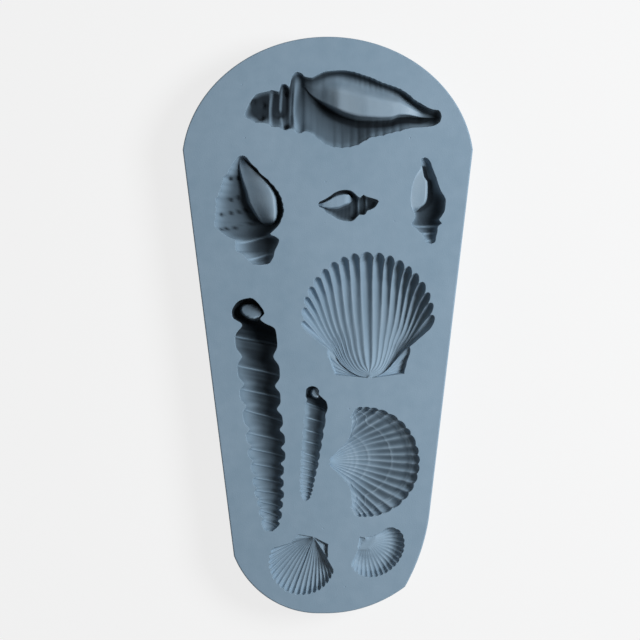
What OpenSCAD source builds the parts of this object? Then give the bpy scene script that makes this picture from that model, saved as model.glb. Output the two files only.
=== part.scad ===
// One-piece silicone mould with ten seashell cavities, open at the top.
// The origin is at the middle of the flat underside, +Z is up and +Y is the broad end.

/* [Body] */
// Length of the mould along Y
body_length = 180; // [176:1:210]
// Width of the mould across its shoulders
body_width = 90.6; // [90:0.2:110]
// Silicone left under the deepest cavity
floor_thickness = 4.5; // [3:0.5:10]
// Swell of the tail's left corner out of its chord
left_tail_swell = 5.2; // [4:0.2:6]
// Swell of the foot of the tail out of its chord
foot_swell = 2.3; // [1.5:0.1:2.8]
// Swell of the tail's right side out of its chord
right_tail_swell = 1.1; // [0.5:0.1:1.6]

/* [Whelk] */
// Length from the canal's tip to the apex
whelk_length = 61.5; // [58:0.5:63]
// Width over the body whorl
whelk_width = 24; // [21:0.5:25]
// Depth under the face at the body whorl
whelk_depth = 10.5; // [8:0.5:12]

/* [Spiny shell] */
// Length from the canal's tip to the apex
spiny_length = 34.2; // [31:0.2:35]
// Width over the body whorl
spiny_width = 21.4; // [19:0.2:22]
// Depth under the face at the body whorl
spiny_depth = 8.8; // [6:0.2:10]

/* [Tiny shell] */
// Length from the canal's tip to the apex
tiny_length = 19; // [17:0.2:20]
// Width over the body whorl
tiny_width = 9.8; // [8.5:0.1:10.5]
// Depth under the face at the body whorl
tiny_depth = 5; // [3.5:0.1:6]

/* [Slim shell] */
// Length from the canal's tip to the apex
slim_length = 27; // [24:0.2:28]
// Width from the left spike to the right side
slim_width = 10.8; // [9:0.1:11.5]
// Depth under the face at the body whorl
slim_depth = 5.6; // [4:0.1:7]

/* [Large auger] */
// Length from the mouth to the apex
auger_length = 72.8; // [68:0.5:74]
// Width that the widths of the outline are shares of
auger_width = 16.5; // [14:0.1:17]
// Depth under the face at the widest whorl
auger_depth = 6.6; // [5:0.1:8]

/* [Small auger] */
// Length from the mouth to the apex
small_auger_length = 35.7; // [32:0.1:37]
// Width that the widths of the outline are shares of
small_auger_width = 8.7; // [7.5:0.1:9.2]
// Depth under the face at the widest whorl
small_auger_depth = 4.4; // [3:0.1:5]

/* [Large scallop] */
// Radius of the round part of the rim
scallop_radius = 20.8; // [18:0.1:21.4]
// Distance from the beak to the middle of that round
scallop_reach = 18.6; // [17:0.1:19.4]
// Depth under the face
scallop_depth = 8; // [6:0.1:10]
// Height of the ridges between the grooves
scallop_rib = 1; // [0.5:0.1:1.5]
// Number of grooves
scallop_grooves = 20; // [16:1:22]

/* [Cockle] */
// Radius of the round part of the rim
cockle_radius = 17.2; // [15:0.1:17.8]
// Distance from the beak to the middle of that round
cockle_reach = 11.1; // [9.5:0.1:11.6]
// Depth under the face
cockle_depth = 7; // [5:0.1:9]
// Height of the ridges between the grooves
cockle_rib = 0.8; // [0.4:0.1:1.2]
// Number of grooves
cockle_grooves = 19; // [15:1:21]

/* [Left fan] */
// Radius of the round part of the rim
left_fan_radius = 10.3; // [9:0.1:10.8]
// Distance from the beak to the middle of that round
left_fan_reach = 8.6; // [7.6:0.1:9]
// Depth under the face
left_fan_depth = 4.4; // [3.4:0.1:6]
// Height of the ridges between the grooves
left_fan_rib = 0.6; // [0.3:0.1:0.9]
// Number of grooves
left_fan_grooves = 18; // [14:1:20]

/* [Right fan] */
// Radius of the rim along the middle groove
right_fan_radius = 7.4; // [6.6:0.1:7.8]
// Radius of the rim across the grooves
right_fan_half_width = 9.5; // [8.4:0.1:9.8]
// Distance from the beak to the middle of the fan
right_fan_reach = 5.4; // [4.8:0.1:5.8]
// Depth under the face
right_fan_depth = 4.2; // [3.4:0.1:6]
// Height of the ridges between the grooves
right_fan_rib = 0.5; // [0.3:0.1:0.8]
// Number of grooves
right_fan_grooves = 18; // [14:1:20]

/* [Hidden] */
silicone = [0.47, 0.56, 0.63];

half_length = body_length / 2;
half_width = body_width / 2;
body_height = floor_thickness + max([whelk_depth, spiny_depth, auger_depth, scallop_depth, cockle_depth]);
// How far every cutter runs on above the face
overrun = 0.6;

// Body outline: shares of the half width and the half length
left_tail_shares = [-0.647, -0.801];
foot_shares = [-0.04, -1];
heel_shares = [0.532, -0.908];
right_tail_shares = [0.699, -0.662];
// The crown is an ellipse that runs from shoulder to shoulder
crown_rise_share = 0.447;
crown_start_angle = 7;
crown_steps = 42;
// Segments of each arc in the tail's outline
tail_steps = 12;

// Cavity places: shares of the half width and the half length
whelk_place_shares = [0.783, 0.745];
spiny_place_shares = [-0.536, 0.588];
tiny_place_shares = [-0.069, 0.42];
slim_place_shares = [0.704, 0.581];
auger_place_shares = [-0.453, 0.094];
small_auger_place_shares = [-0.102, -0.212];
scallop_place_shares = [0.287, -0.184];
cockle_place_shares = [0.008, -0.475];
left_fan_place_shares = [-0.099, -0.735];
right_fan_place_shares = [0.256, -0.738];

// Direction of each cavity's axis, from the canal, mouth or beak
whelk_turn = 180;
spiny_turn = -90;
tiny_turn = 0;
slim_turn = -90;
auger_turn = -90;
small_auger_turn = -90;
scallop_turn = 91.4;
cockle_turn = 0;
left_fan_turn = -114.7;
right_fan_turn = -45;

// Sections of a coiled shell, from the canal's tip to the apex.
// Each row: share of the length, both edges as shares of the width, share of the depth.
whelk_section_shares = [
    [0.005, 0.032, 0.136, 0.2], [0.018, 0, 0.175, 0.3], [0.038, -0.006, 0.2, 0.36],
    [0.063, -0.026, 0.214, 0.4], [0.099, -0.078, 0.221, 0.45], [0.135, -0.13, 0.225, 0.5],
    [0.17, -0.208, 0.238, 0.55], [0.211, -0.273, 0.266, 0.6], [0.256, -0.317, 0.292, 0.66],
    [0.302, -0.357, 0.325, 0.72], [0.353, -0.416, 0.348, 0.8], [0.383, -0.442, 0.383, 0.84],
    [0.414, -0.468, 0.432, 0.89], [0.454, -0.5, 0.468, 0.95], [0.505, -0.517, 0.483, 1],
    [0.556, -0.51, 0.468, 1], [0.596, -0.496, 0.422, 0.96], [0.632, -0.455, 0.351, 0.9],
    [0.662, -0.421, 0.292, 0.82], [0.693, -0.435, 0.273, 0.76], [0.713, -0.481, 0.296, 0.8],
    [0.734, -0.494, 0.303, 0.76], [0.749, -0.474, 0.247, 0.66], [0.764, -0.403, 0.238, 0.66],
    [0.772, -0.299, 0.243, 0.56], [0.794, -0.338, 0.26, 0.62], [0.815, -0.33, 0.234, 0.58],
    [0.825, -0.24, 0.221, 0.5], [0.865, -0.26, 0.214, 0.5], [0.876, -0.247, 0.182, 0.43],
    [0.911, -0.227, 0.162, 0.42], [0.942, -0.201, 0.16, 0.36], [0.967, -0.117, 0.123, 0.28],
    [0.985, -0.032, 0.104, 0.2], [0.995, 0.026, 0.084, 0.12]
];
spiny_section_shares = [
    [0.009, -0.161, -0.073, 0.25], [0.023, -0.19, -0.044, 0.34], [0.05, -0.219, -0.015, 0.42],
    [0.087, -0.263, 0.036, 0.5], [0.123, -0.285, 0.102, 0.57], [0.164, -0.321, 0.146, 0.64],
    [0.201, -0.38, 0.219, 0.7], [0.242, -0.394, 0.285, 0.76], [0.297, -0.416, 0.365, 0.83],
    [0.361, -0.453, 0.431, 0.9], [0.406, -0.493, 0.46, 0.94], [0.47, -0.482, 0.482, 0.98],
    [0.507, -0.489, 0.489, 1], [0.562, -0.496, 0.467, 1], [0.598, -0.499, 0.445, 0.99],
    [0.635, -0.511, 0.416, 0.96], [0.68, -0.453, 0.35, 0.88], [0.721, -0.372, 0.292, 0.76],
    [0.74, -0.328, 0.365, 0.68], [0.76, -0.248, 0.409, 0.66], [0.772, -0.207, 0.423, 0.66],
    [0.817, -0.212, 0.401, 0.62], [0.863, -0.204, 0.365, 0.56], [0.895, -0.124, 0.35, 0.46],
    [0.927, -0.066, 0.339, 0.44], [0.954, -0.029, 0.314, 0.4], [0.977, 0.007, 0.292, 0.3],
    [0.991, 0.051, 0.255, 0.2]
];
tiny_section_shares = [
    [0.008, -0.054, 0.032, 0.3], [0.036, -0.111, 0.073, 0.42], [0.086, -0.159, 0.117, 0.5],
    [0.135, -0.27, 0.168, 0.58], [0.2, -0.333, 0.248, 0.66], [0.266, -0.413, 0.34, 0.76],
    [0.332, -0.486, 0.403, 0.86], [0.398, -0.524, 0.435, 0.94], [0.464, -0.54, 0.444, 1],
    [0.53, -0.556, 0.425, 1], [0.595, -0.508, 0.349, 0.96], [0.645, -0.413, 0.254, 0.88],
    [0.683, -0.343, 0.203, 0.78], [0.719, -0.349, 0.244, 0.78], [0.752, -0.349, 0.286, 0.76],
    [0.785, -0.317, 0.244, 0.7], [0.809, -0.222, 0.225, 0.62], [0.875, -0.175, 0.19, 0.52],
    [0.941, -0.095, 0.152, 0.4], [0.982, 0.016, 0.12, 0.22]
];
slim_section_shares = [
    [0.008, -0.217, -0.087, 0.25], [0.031, -0.261, -0.029, 0.36], [0.066, -0.246, 0.023, 0.42],
    [0.112, -0.217, 0.058, 0.46], [0.17, -0.183, 0.116, 0.5], [0.227, -0.145, 0.174, 0.55],
    [0.273, -0.058, 0.209, 0.6], [0.343, -0.043, 0.267, 0.68], [0.4, -0.043, 0.328, 0.76],
    [0.446, -0.049, 0.406, 0.86], [0.493, -0.072, 0.449, 0.94], [0.539, -0.145, 0.443, 0.98],
    [0.573, -0.261, 0.435, 1], [0.614, -0.362, 0.42, 1], [0.648, -0.42, 0.377, 0.98],
    [0.689, -0.435, 0.31, 0.94], [0.717, -0.458, 0.261, 0.9], [0.74, -0.493, 0.29, 0.88],
    [0.764, -0.536, 0.339, 0.86], [0.781, -0.53, 0.261, 0.8], [0.804, -0.464, 0.223, 0.72],
    [0.821, -0.391, 0.212, 0.7], [0.85, -0.333, 0.209, 0.66], [0.879, -0.232, 0.197, 0.6],
    [0.919, -0.174, 0.168, 0.5], [0.96, -0.13, 0.157, 0.38], [0.983, -0.087, 0.125, 0.22]
];

// Where the outline closes at the canal's tip and at the apex, as shares of the width
whelk_end_shares = [0.08, 0.058];
spiny_end_shares = [-0.115, 0.146];
tiny_end_shares = [-0.02, 0.073];
slim_end_shares = [-0.15, 0.03];

// The aperture core inside a coiled shell.
// Each row: share of the length, both feet as shares of the width, share of the depth that it fills.
whelk_core_shares = [
    [0, 0.07, 0.09, 0], [0.084, 0.03, 0.075, 0.1], [0.16, -0.09, 0.06, 0.5], [0.211, -0.195, 0.065, 0.6],
    [0.256, -0.247, 0.117, 0.68], [0.312, -0.286, 0.13, 0.7], [0.363, -0.325, 0.127, 0.7],
    [0.414, -0.364, 0.123, 0.66], [0.464, -0.4, 0.097, 0.6], [0.515, -0.422, 0.039, 0.52],
    [0.566, -0.42, -0.026, 0.42], [0.617, -0.405, -0.091, 0.32], [0.668, -0.38, -0.195, 0.2],
    [0.7, -0.37, -0.31, 0.05], [0.71, -0.35, -0.31, 0], [0.8, -0.08, -0.02, 0], [1, 0.05, 0.07, 0]
];
spiny_core_shares = [
    [0, -0.13, -0.11, 0], [0.05, -0.139, -0.08, 0.15], [0.1, -0.14, 0, 0.5], [0.178, -0.139, 0.13, 0.64],
    [0.26, -0.12, 0.25, 0.68], [0.324, -0.09, 0.325, 0.7], [0.406, -0.045, 0.375, 0.7],
    [0.498, 0.045, 0.39, 0.62], [0.56, 0.1, 0.38, 0.45], [0.6, 0.16, 0.35, 0.2],
    [0.626, 0.2, 0.3, 0], [0.72, 0.05, 0.1, 0], [1, 0.12, 0.15, 0]
];
tiny_core_shares = [
    [0, -0.03, -0.01, 0], [0.03, -0.06, 0.02, 0.1], [0.1, -0.11, 0.07, 0.5], [0.2, -0.15, 0.18, 0.6],
    [0.27, -0.15, 0.28, 0.62], [0.33, -0.14, 0.33, 0.62], [0.43, -0.06, 0.36, 0.6],
    [0.5, -0.006, 0.34, 0.5], [0.55, 0.07, 0.25, 0.25], [0.575, 0.12, 0.2, 0],
    [0.7, 0, 0.04, 0], [1, 0.065, 0.08, 0]
];
slim_core_shares = [
    [0, -0.16, -0.14, 0], [0.25, 0, 0.02, 0], [0.5, 0.1, 0.12, 0], [0.8, -0.1, -0.05, 0], [1, 0.02, 0.04, 0]
];

// Segments across a coiled shell: outer groove, core, body side
groove_steps = 4;
core_steps = 5;
side_steps = 5;
// How square the core's shoulders are
core_power = 4;

// Outline of an auger without its notches.
// Each row: share of the length, both edges as shares of the width, share of the depth.
auger_edge_shares = [
    [0, -0.24, -0.22, 0.2], [0.004, -0.34, -0.17, 0.5], [0.015, -0.453, -0.11, 0.7],
    [0.03, -0.52, -0.05, 0.85], [0.06, -0.566, 0.03, 0.95], [0.085, -0.56, 0.05, 1],
    [0.12, -0.5, 0.19, 1], [0.17, -0.51, 0.274, 1], [0.31, -0.455, 0.33, 0.96],
    [0.43, -0.4, 0.35, 0.9], [0.52, -0.34, 0.38, 0.86], [0.61, -0.255, 0.427, 0.8],
    [0.7, -0.185, 0.432, 0.72], [0.8, -0.13, 0.405, 0.62], [0.89, -0.075, 0.4, 0.52],
    [0.94, -0.01, 0.378, 0.44], [0.97, 0.05, 0.36, 0.36], [0.99, 0.1, 0.28, 0.24],
    [1, 0.15, 0.18, 0.1]
];
small_auger_edge_shares = [
    [0, -0.05, 0, 0.2], [0.006, -0.14, 0.08, 0.5], [0.03, -0.25, 0.19, 0.75],
    [0.07, -0.268, 0.25, 0.9], [0.13, -0.27, 0.45, 1], [0.19, -0.286, 0.515, 1],
    [0.3, -0.32, 0.446, 0.96], [0.42, -0.37, 0.36, 0.88], [0.52, -0.4, 0.305, 0.8],
    [0.6, -0.42, 0.245, 0.74], [0.68, -0.435, 0.196, 0.66], [0.75, -0.45, 0.125, 0.6],
    [0.85, -0.464, 0.036, 0.5], [0.92, -0.455, -0.03, 0.4], [0.97, -0.4, -0.1, 0.3],
    [0.99, -0.35, -0.16, 0.2], [1, -0.28, -0.24, 0.1]
];
// Left ends of the sutures, as shares of the length, from the mouth to the apex
auger_suture_shares = [
    0, 0.116, 0.253, 0.368, 0.458, 0.544, 0.621, 0.69, 0.754, 0.809, 0.859, 0.906, 0.95, 1
];
small_auger_suture_shares = [
    0, 0.14, 0.28, 0.376, 0.48, 0.576, 0.646, 0.707, 0.768, 0.82, 0.869, 0.909, 0.95, 1
];
// Depth of the notch at a suture's end, as a share of the width, at the mouth and at the apex
auger_notch_shares = [0.1, 0.07];
small_auger_notch_shares = [0.07, 0.05];
// Height of the ridge along a suture, as a share of the depth
auger_ridge_share = 0.2;
// How round a whorl is between its sutures
whorl_power = 0.6;
// Rows in each whorl, and segments across an auger
whorl_steps = 4;
auger_steps = 10;
// Turns at which the rows before the first whorl and past the last one start
mouth_turns = [0.04, 0.1, 0.18, 0.28, 0.4, 0.55, 0.7, 0.85];
apex_turns = [0, 0.3, 0.6, 0.85];
// How fast the slant dies out over the last whorl
apex_easing = 0.8;
// Core in an auger's mouth: its middle as shares of the length and the width,
// its half sizes as shares of the same, and the share of the depth that it fills
auger_core_shares = [0.062, -0.2, 0.04, 0.22, 0.6];
small_auger_core_shares = [0.06, 0.08, 0.04, 0.18, 0.6];

// Floor of a ribbed shell along a groove: share of the way from beak to rim, share of the depth
dome_shares = [
    [0, 0.3], [0.06, 0.5], [0.2, 0.82], [0.4, 1], [0.6, 0.98], [0.8, 0.84], [0.92, 0.66], [1, 0.5]
];
// Places of the rings along a groove
ring_shares = [0, 0.04, 0.14, 0.28, 0.42, 0.56, 0.7, 0.83, 0.93, 0.985, 1];
small_ring_shares = [0, 0.06, 0.25, 0.45, 0.65, 0.85, 0.98, 1];
// Segments across each groove of the large and the small ribbed shells
groove_lines = 4;
small_groove_lines = 2;
// How much of the depth is left at the side of the fan
side_floor_share = 0.35;
// How far the rim bulges out at each groove, as a share of the radius
lobe_share = 0.035;

// Angles of the fan's two sides and of the outer ends of its ears
scallop_fan = [-53.4, 53.4];
scallop_ear = [-84, 83];
cockle_fan = [-63, 63];
left_fan_fan = [-49, 56];
left_fan_ear = [-75, 88];
right_fan_fan = [-74, 70];
right_fan_ear = [-146, 74];
// Ear outline: share of the way to the ear's end, share of the rim radius
scallop_ear_shares = [[0, 0.76], [0.5, 0.6], [1, 0.525]];
fan_ear_shares = [[0, 0.78], [0.35, 0.64], [1, 0.53]];
right_ear_shares = [[0, 0.5], [0.35, 0.3], [1, 0.24]];
// Depth of the ears as a share of the whole depth
ear_depth_share = 0.3;
// Inner end of the grooves: angle from the axis, share of the rim radius
beak_shares = [[0, 0.03], [180, 0.03]];
cockle_beak_shares = [[0, 0.03], [41, 0.04], [46, 0.26], [49, 0.54], [58, 0.79], [63, 0.9]];
// Segments across an ear
ear_steps = 4;
// Angle between a side wall and the first line inside it
wall_angle = 1;

// Value that lies between two others, or past them
function mix(a, b, t) = a + (b - a) * t;
// Value held between two limits
function clamp(x, low, high) = max(low, min(high, x));
// Point of the face from its shares of the half width and the half length
function place(shares) = [shares.x * half_width, shares.y * half_length];
// Column of a table as pairs that lookup() reads
function column(table, k) = [for (row = table) [row[0], row[k]]];
// Points of an arc from p up to, but without, q.
// It stands out of its chord by the swell, on the right of the way.
function arc(p, q, swell) =
    let (chord = norm(q - p), radius = (chord * chord / 4 + swell * swell) / (2 * swell))
    let (along = (q - p) / chord, out = [along.y, -along.x], half = asin(chord / 2 / radius))
    let (centre = (p + q) / 2 - out * (radius - swell))
    [for (i = [0:tail_steps - 1]) let (a = mix(-half, half, i / tail_steps))
        centre + radius * (sin(a) * along + cos(a) * out)];

// The mould's outline, counter-clockwise from the tail's left corner
function body_outline() =
    let (rise = crown_rise_share * half_length, crown_half = half_width / cos(crown_start_angle))
    concat(
        arc(place(left_tail_shares), place(foot_shares), left_tail_swell),
        arc(place(foot_shares), place(heel_shares), foot_swell),
        arc(place(heel_shares), place(right_tail_shares), right_tail_swell),
        [place(right_tail_shares)],
        [for (i = [0:crown_steps])
            let (a = mix(crown_start_angle, 180 - crown_start_angle, i / crown_steps))
            [crown_half * cos(a), half_length - rise + rise * sin(a)]]
    );

// Point of a cavity: along its axis, across it and up, turned and set in its place
function set_down(spot, turn, along, across, up) = [
    spot.x + along * cos(turn) - across * sin(turn),
    spot.y + along * sin(turn) + across * cos(turn),
    up
];
// Share of the depth across a coiled shell, an ellipse between its edges
function round_share(v, left, right) =
    let (t = clamp((v - left) / (right - left), 0, 1)) sqrt(4 * t * (1 - t));

// Faces of a lofted cutter whose points are: first end, rows of n + 1 points, last end
function loft_faces(rows, n) = let (last_row = 1 + (rows - 1) * (n + 1), last = last_row + n + 1) concat(
    [for (j = [0:n - 1]) [0, 1 + j, 2 + j]],
    [for (i = [0:rows - 2], j = [0:n - 1], k = [0, 1]) let (a = 1 + i * (n + 1) + j, b = a + n + 1)
        k == 0 ? [a, b, b + 1] : [a, b + 1, a + 1]],
    [for (j = [0:n - 1]) [last, last_row + j + 1, last_row + j]],
    [[0, n + 1, 1]],
    [for (i = [0:rows - 2], k = [0, 1]) let (a = 1 + i * (n + 1), b = a + n + 1)
        k == 0 ? [a, a + n, b + n] : [a, b + n, b]],
    [[last, last_row, last_row + n]]
);

// One row of points across a coiled shell
function coil_row(row, core_shares, length, width, depth, spot, turn) =
    let (s = row[0], left = row[1], right = row[2])
    let (near = lookup(s, column(core_shares, 1)), far = lookup(s, column(core_shares, 2)))
    let (fill = lookup(s, column(core_shares, 3)))
    let (across = concat(
        [for (k = [0:groove_steps - 1]) [mix(left, near, 1 - cos(90 * k / groove_steps)), 0]],
        [for (k = [0:core_steps]) let (w = k / core_steps)
            [mix(near, far, w), 1 - pow(abs(2 * w - 1), core_power)]],
        [for (k = [1:side_steps]) [mix(far, right, sin(90 * k / side_steps)), 0]]
    ))
    let (n = len(across) - 1)
    [for (j = [0:n])
        let (v = across[j][0], rise = fill * across[j][1])
        let (drop = depth * row[3] * round_share(v, left, right) * (1 - rise))
        set_down(spot, turn, s * length, v * width, body_height + (j == 0 || j == n ? overrun : -drop))];

// Cutter of a coiled shell with an aperture core
module coiled_shell(sections, ends, core_shares, length, width, depth, spot, turn) {
    n = groove_steps + core_steps + side_steps;
    rows = len(sections);
    points = concat(
        [set_down(spot, turn, 0, ends[0] * width, body_height + overrun)],
        [for (row = sections) each coil_row(row, core_shares, length, width, depth, spot, turn)],
        [set_down(spot, turn, length, ends[1] * width, body_height + overrun)]
    );
    polyhedron(points, loft_faces(rows, n), convexity = 10);
}

// Rise of an auger's aperture core, as a share of the depth
function mouth_core(s, v, core) =
    let (e = pow((s - core[0]) / core[2], 2) + pow((v - core[1]) / core[3], 2))
    core[4] * max(0, 1 - e * e);

// Cutter of an auger. Its rows follow the slant of the sutures, which fall by one whorl from left to right.
module auger_shell(edges, sutures, notches, core, length, width, depth, spot, turn) {
    n = auger_steps;
    whorls = len(sutures) - 1;
    counts = [for (k = [0:whorls]) [k, sutures[k]]];
    // Whorls passed where each row starts at the left edge
    starts = concat(
        mouth_turns,
        [for (c = [1:whorls - 2], k = [0:whorl_steps - 1]) c + k / whorl_steps],
        [for (turns = apex_turns) whorls - 1 + turns]
    );
    mouth = (edges[0][1] + edges[0][2]) / 2;
    apex = (edges[len(edges) - 1][1] + edges[len(edges) - 1][2]) / 2;
    points = concat(
        [set_down(spot, turn, 0, mouth * width, body_height + overrun)],
        [for (c = starts, j = [0:n])
            let (slant = clamp(c, 0, 1) * clamp((whorls - c) * apex_easing, 0, 1))
            let (s = lookup(c + slant * j / n, counts))
            let (swell = c < 1 || c > whorls - 1 ? 1 : pow(abs(sin(180 * c)), whorl_power))
            let (notch = mix(notches[0], notches[1], s) * (1 - swell))
            let (left = lookup(s, column(edges, 1)) + notch, right = lookup(s, column(edges, 2)) - notch)
            let (v = mix(left, right, (1 - cos(180 * j / n)) / 2))
            let (floor_share = lookup(s, column(edges, 3)) * round_share(v, left, right))
            let (ridge_share = auger_ridge_share * (1 - swell))
            let (drop = depth * floor_share * (1 - ridge_share) * (1 - mouth_core(s, v, core)))
            set_down(spot, turn, s * length, v * width, body_height + (j == 0 || j == n ? overrun : -drop))],
        [set_down(spot, turn, length, apex * width, body_height + overrun)]
    );
    polyhedron(points, loft_faces(len(starts), n), convexity = 10);
}

// Distance from the beak to an elliptic rim, at an angle from the axis
function rim_reach(angle, reach, radius, half) =
    let (a = pow(cos(angle) / radius, 2) + pow(sin(angle) / half, 2))
    let (b = reach * cos(angle) / radius / radius, c = reach * reach / radius / radius - 1)
    (b + sqrt(b * b - a * c)) / a;

// Lines past one side of a fan, where the side is -1 or 1: those of its ear, or its wall alone.
// Each line: angle, place across the fan from -1 to 1, groove depth, ear place or -1.
function side_lines(side, fan_angle, ear_angle) = is_undef(ear_angle)
    ? [[fan_angle, side, 0, -1]]
    : [for (k = [0:ear_steps]) let (t = (side > 0 ? k : ear_steps - k) / ear_steps)
        [mix(fan_angle, ear_angle, t) + side * wall_angle, side, 0, t]];

// Cutter of a ribbed shell. Lines run out from the beak, with a ridge between each two grooves.
module ribbed_shell(grooves, line_steps, rings, fan, ears, ear_shares, beak,
        radius, half, reach, depth, rib, spot, turn) {
    count = grooves * line_steps;
    lines = concat(
        side_lines(-1, fan[0], ears[0]),
        [for (k = [0:count]) let (t = k / count)
            [mix(fan[0] + wall_angle, fan[1] - wall_angle, t), 2 * t - 1, abs(sin(180 * t * grooves)), -1]],
        side_lines(1, fan[1], ears[1])
    );
    m = len(lines) - 1;
    n = len(rings) - 1;
    grid = [for (i = [0:m], j = [0:n])
        let (line = lines[i], angle = line[0], groove = line[2], ear = line[3])
        let (rim = ear >= 0 ? radius * lookup(ear, ear_shares)
            : rim_reach(angle, reach, radius, half) * (1 + lobe_share * groove))
        let (r = mix(radius * lookup(abs(angle), beak), rim, rings[j]))
        let (side = ear >= 0 ? ear_depth_share : mix(side_floor_share, 1, sqrt(1 - line[1] * line[1])))
        let (drop = depth * side * lookup(rings[j], dome_shares) - rib * (1 - groove) * rings[j] * side)
        let (edge = i == 0 || i == m || j == 0 || j == n)
        set_down(spot, turn, r * cos(angle), r * sin(angle), body_height + (edge ? overrun : -drop))];
    lid = set_down(spot, turn, reach, 0, body_height + overrun);
    // The grid's border, which the lid closes
    loop = concat(
        [for (j = [0:n - 1]) j],
        [for (i = [0:m - 1]) i * (n + 1) + n],
        [for (j = [n:-1:1]) m * (n + 1) + j],
        [for (i = [m:-1:1]) i * (n + 1)]
    );
    faces = concat(
        [for (i = [0:m - 1], j = [0:n - 1], k = [0, 1]) let (a = i * (n + 1) + j, b = a + n + 1)
            k == 0 ? [a, a + 1, b + 1] : [a, b + 1, b]],
        [for (k = [0:len(loop) - 1]) [len(grid), loop[(k + 1) % len(loop)], loop[k]]]
    );
    polyhedron(concat(grid, [lid]), faces, convexity = 10);
}

module mould_body() {
    color(silicone) difference() {
        linear_extrude(body_height) polygon(body_outline());
        coiled_shell(whelk_section_shares, whelk_end_shares, whelk_core_shares,
            whelk_length, whelk_width, whelk_depth, place(whelk_place_shares), whelk_turn);
        coiled_shell(spiny_section_shares, spiny_end_shares, spiny_core_shares,
            spiny_length, spiny_width, spiny_depth, place(spiny_place_shares), spiny_turn);
        coiled_shell(tiny_section_shares, tiny_end_shares, tiny_core_shares,
            tiny_length, tiny_width, tiny_depth, place(tiny_place_shares), tiny_turn);
        coiled_shell(slim_section_shares, slim_end_shares, slim_core_shares,
            slim_length, slim_width, slim_depth, place(slim_place_shares), slim_turn);
        auger_shell(auger_edge_shares, auger_suture_shares, auger_notch_shares, auger_core_shares,
            auger_length, auger_width, auger_depth, place(auger_place_shares), auger_turn);
        auger_shell(small_auger_edge_shares, small_auger_suture_shares, small_auger_notch_shares,
            small_auger_core_shares, small_auger_length, small_auger_width, small_auger_depth,
            place(small_auger_place_shares), small_auger_turn);
        ribbed_shell(scallop_grooves, groove_lines, ring_shares, scallop_fan,
            scallop_ear, scallop_ear_shares, beak_shares,
            scallop_radius, scallop_radius, scallop_reach, scallop_depth, scallop_rib,
            place(scallop_place_shares), scallop_turn);
        ribbed_shell(cockle_grooves, groove_lines, ring_shares, cockle_fan,
            [], [], cockle_beak_shares,
            cockle_radius, cockle_radius, cockle_reach, cockle_depth, cockle_rib,
            place(cockle_place_shares), cockle_turn);
        ribbed_shell(left_fan_grooves, small_groove_lines, small_ring_shares, left_fan_fan,
            left_fan_ear, fan_ear_shares, beak_shares,
            left_fan_radius, left_fan_radius, left_fan_reach, left_fan_depth, left_fan_rib,
            place(left_fan_place_shares), left_fan_turn);
        ribbed_shell(right_fan_grooves, small_groove_lines, small_ring_shares, right_fan_fan,
            right_fan_ear, right_ear_shares, beak_shares,
            right_fan_radius, right_fan_half_width, right_fan_reach, right_fan_depth, right_fan_rib,
            place(right_fan_place_shares), right_fan_turn);
    }
}

mould_body();
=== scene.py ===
"""Looks of a one-piece silicone mould with ten seashell cavities.

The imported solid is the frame. One fine closed mesh stands for it: the flat face with its rounded edges, the
cavities with their ribs, whorls, cores and growth lines, the side walls and the underside. Lengths are in
millimetres until the mesh is made, and then in metres.
"""

import logging
import math
from abc import ABC, abstractmethod
from dataclasses import dataclass
from enum import Enum

import bmesh
import bpy
import numpy as np
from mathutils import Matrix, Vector, geometry

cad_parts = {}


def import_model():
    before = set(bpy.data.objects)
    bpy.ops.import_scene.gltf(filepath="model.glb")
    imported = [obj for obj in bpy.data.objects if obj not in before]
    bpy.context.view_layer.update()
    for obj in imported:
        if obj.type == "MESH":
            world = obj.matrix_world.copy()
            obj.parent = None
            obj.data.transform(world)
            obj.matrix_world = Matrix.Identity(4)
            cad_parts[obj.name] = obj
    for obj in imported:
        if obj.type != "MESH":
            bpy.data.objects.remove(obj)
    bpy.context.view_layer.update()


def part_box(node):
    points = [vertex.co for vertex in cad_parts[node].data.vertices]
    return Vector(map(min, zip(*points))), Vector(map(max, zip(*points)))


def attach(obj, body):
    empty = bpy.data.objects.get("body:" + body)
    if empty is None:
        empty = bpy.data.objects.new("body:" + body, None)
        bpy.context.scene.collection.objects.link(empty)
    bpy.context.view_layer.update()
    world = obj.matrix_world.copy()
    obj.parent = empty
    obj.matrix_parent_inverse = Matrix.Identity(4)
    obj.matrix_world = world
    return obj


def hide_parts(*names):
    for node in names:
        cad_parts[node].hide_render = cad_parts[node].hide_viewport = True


LOGGER = logging.getLogger("seashell_mould")
METRES = 0.001
# Points of the mesh that are closer than this, in metres, become one
WELD_DISTANCE = 1e-6
# The shortest length and the smallest step that anything is divided by
SHORTEST = 1e-9
LEAST_STEP = 1e-6
# Keeps the direction at a sharp corner from getting too long
CORNER_LIMIT = 0.6

Array = np.ndarray
Pair = tuple[float, float]
Table = tuple[tuple[float, ...], ...]
Colour = tuple[float, float, float, float]
Feed = bpy.types.NodeSocket | float | Colour


class Side(Enum):
    """Side of a cavity on which something stands, looking along its axis from the mouth or canal."""

    RIGHT = -1
    LEFT = 1


class Layer(Enum):
    """Value that is painted on the points of the mesh for the finish to read."""

    # Pale finish of the shells' cores, and the painted highlight on the ribbed shells' crests and growth
    # rings
    PALE_CORE_AND_HIGHLIGHT = "core"
    # Painted shade, which darkens the hollows where shade falls
    PAINTED_SHADE = "stain"


class Sum(Enum):
    """Ways in which a material's nodes join two values into one."""

    PRODUCT = "MULTIPLY"
    LARGER = "MAXIMUM"


def mix(low: float | Array, high: float | Array, share: float | Array) -> float | Array:
    """Returns the value that lies between two others at a share of the way."""
    return low + (high - low) * share


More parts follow.
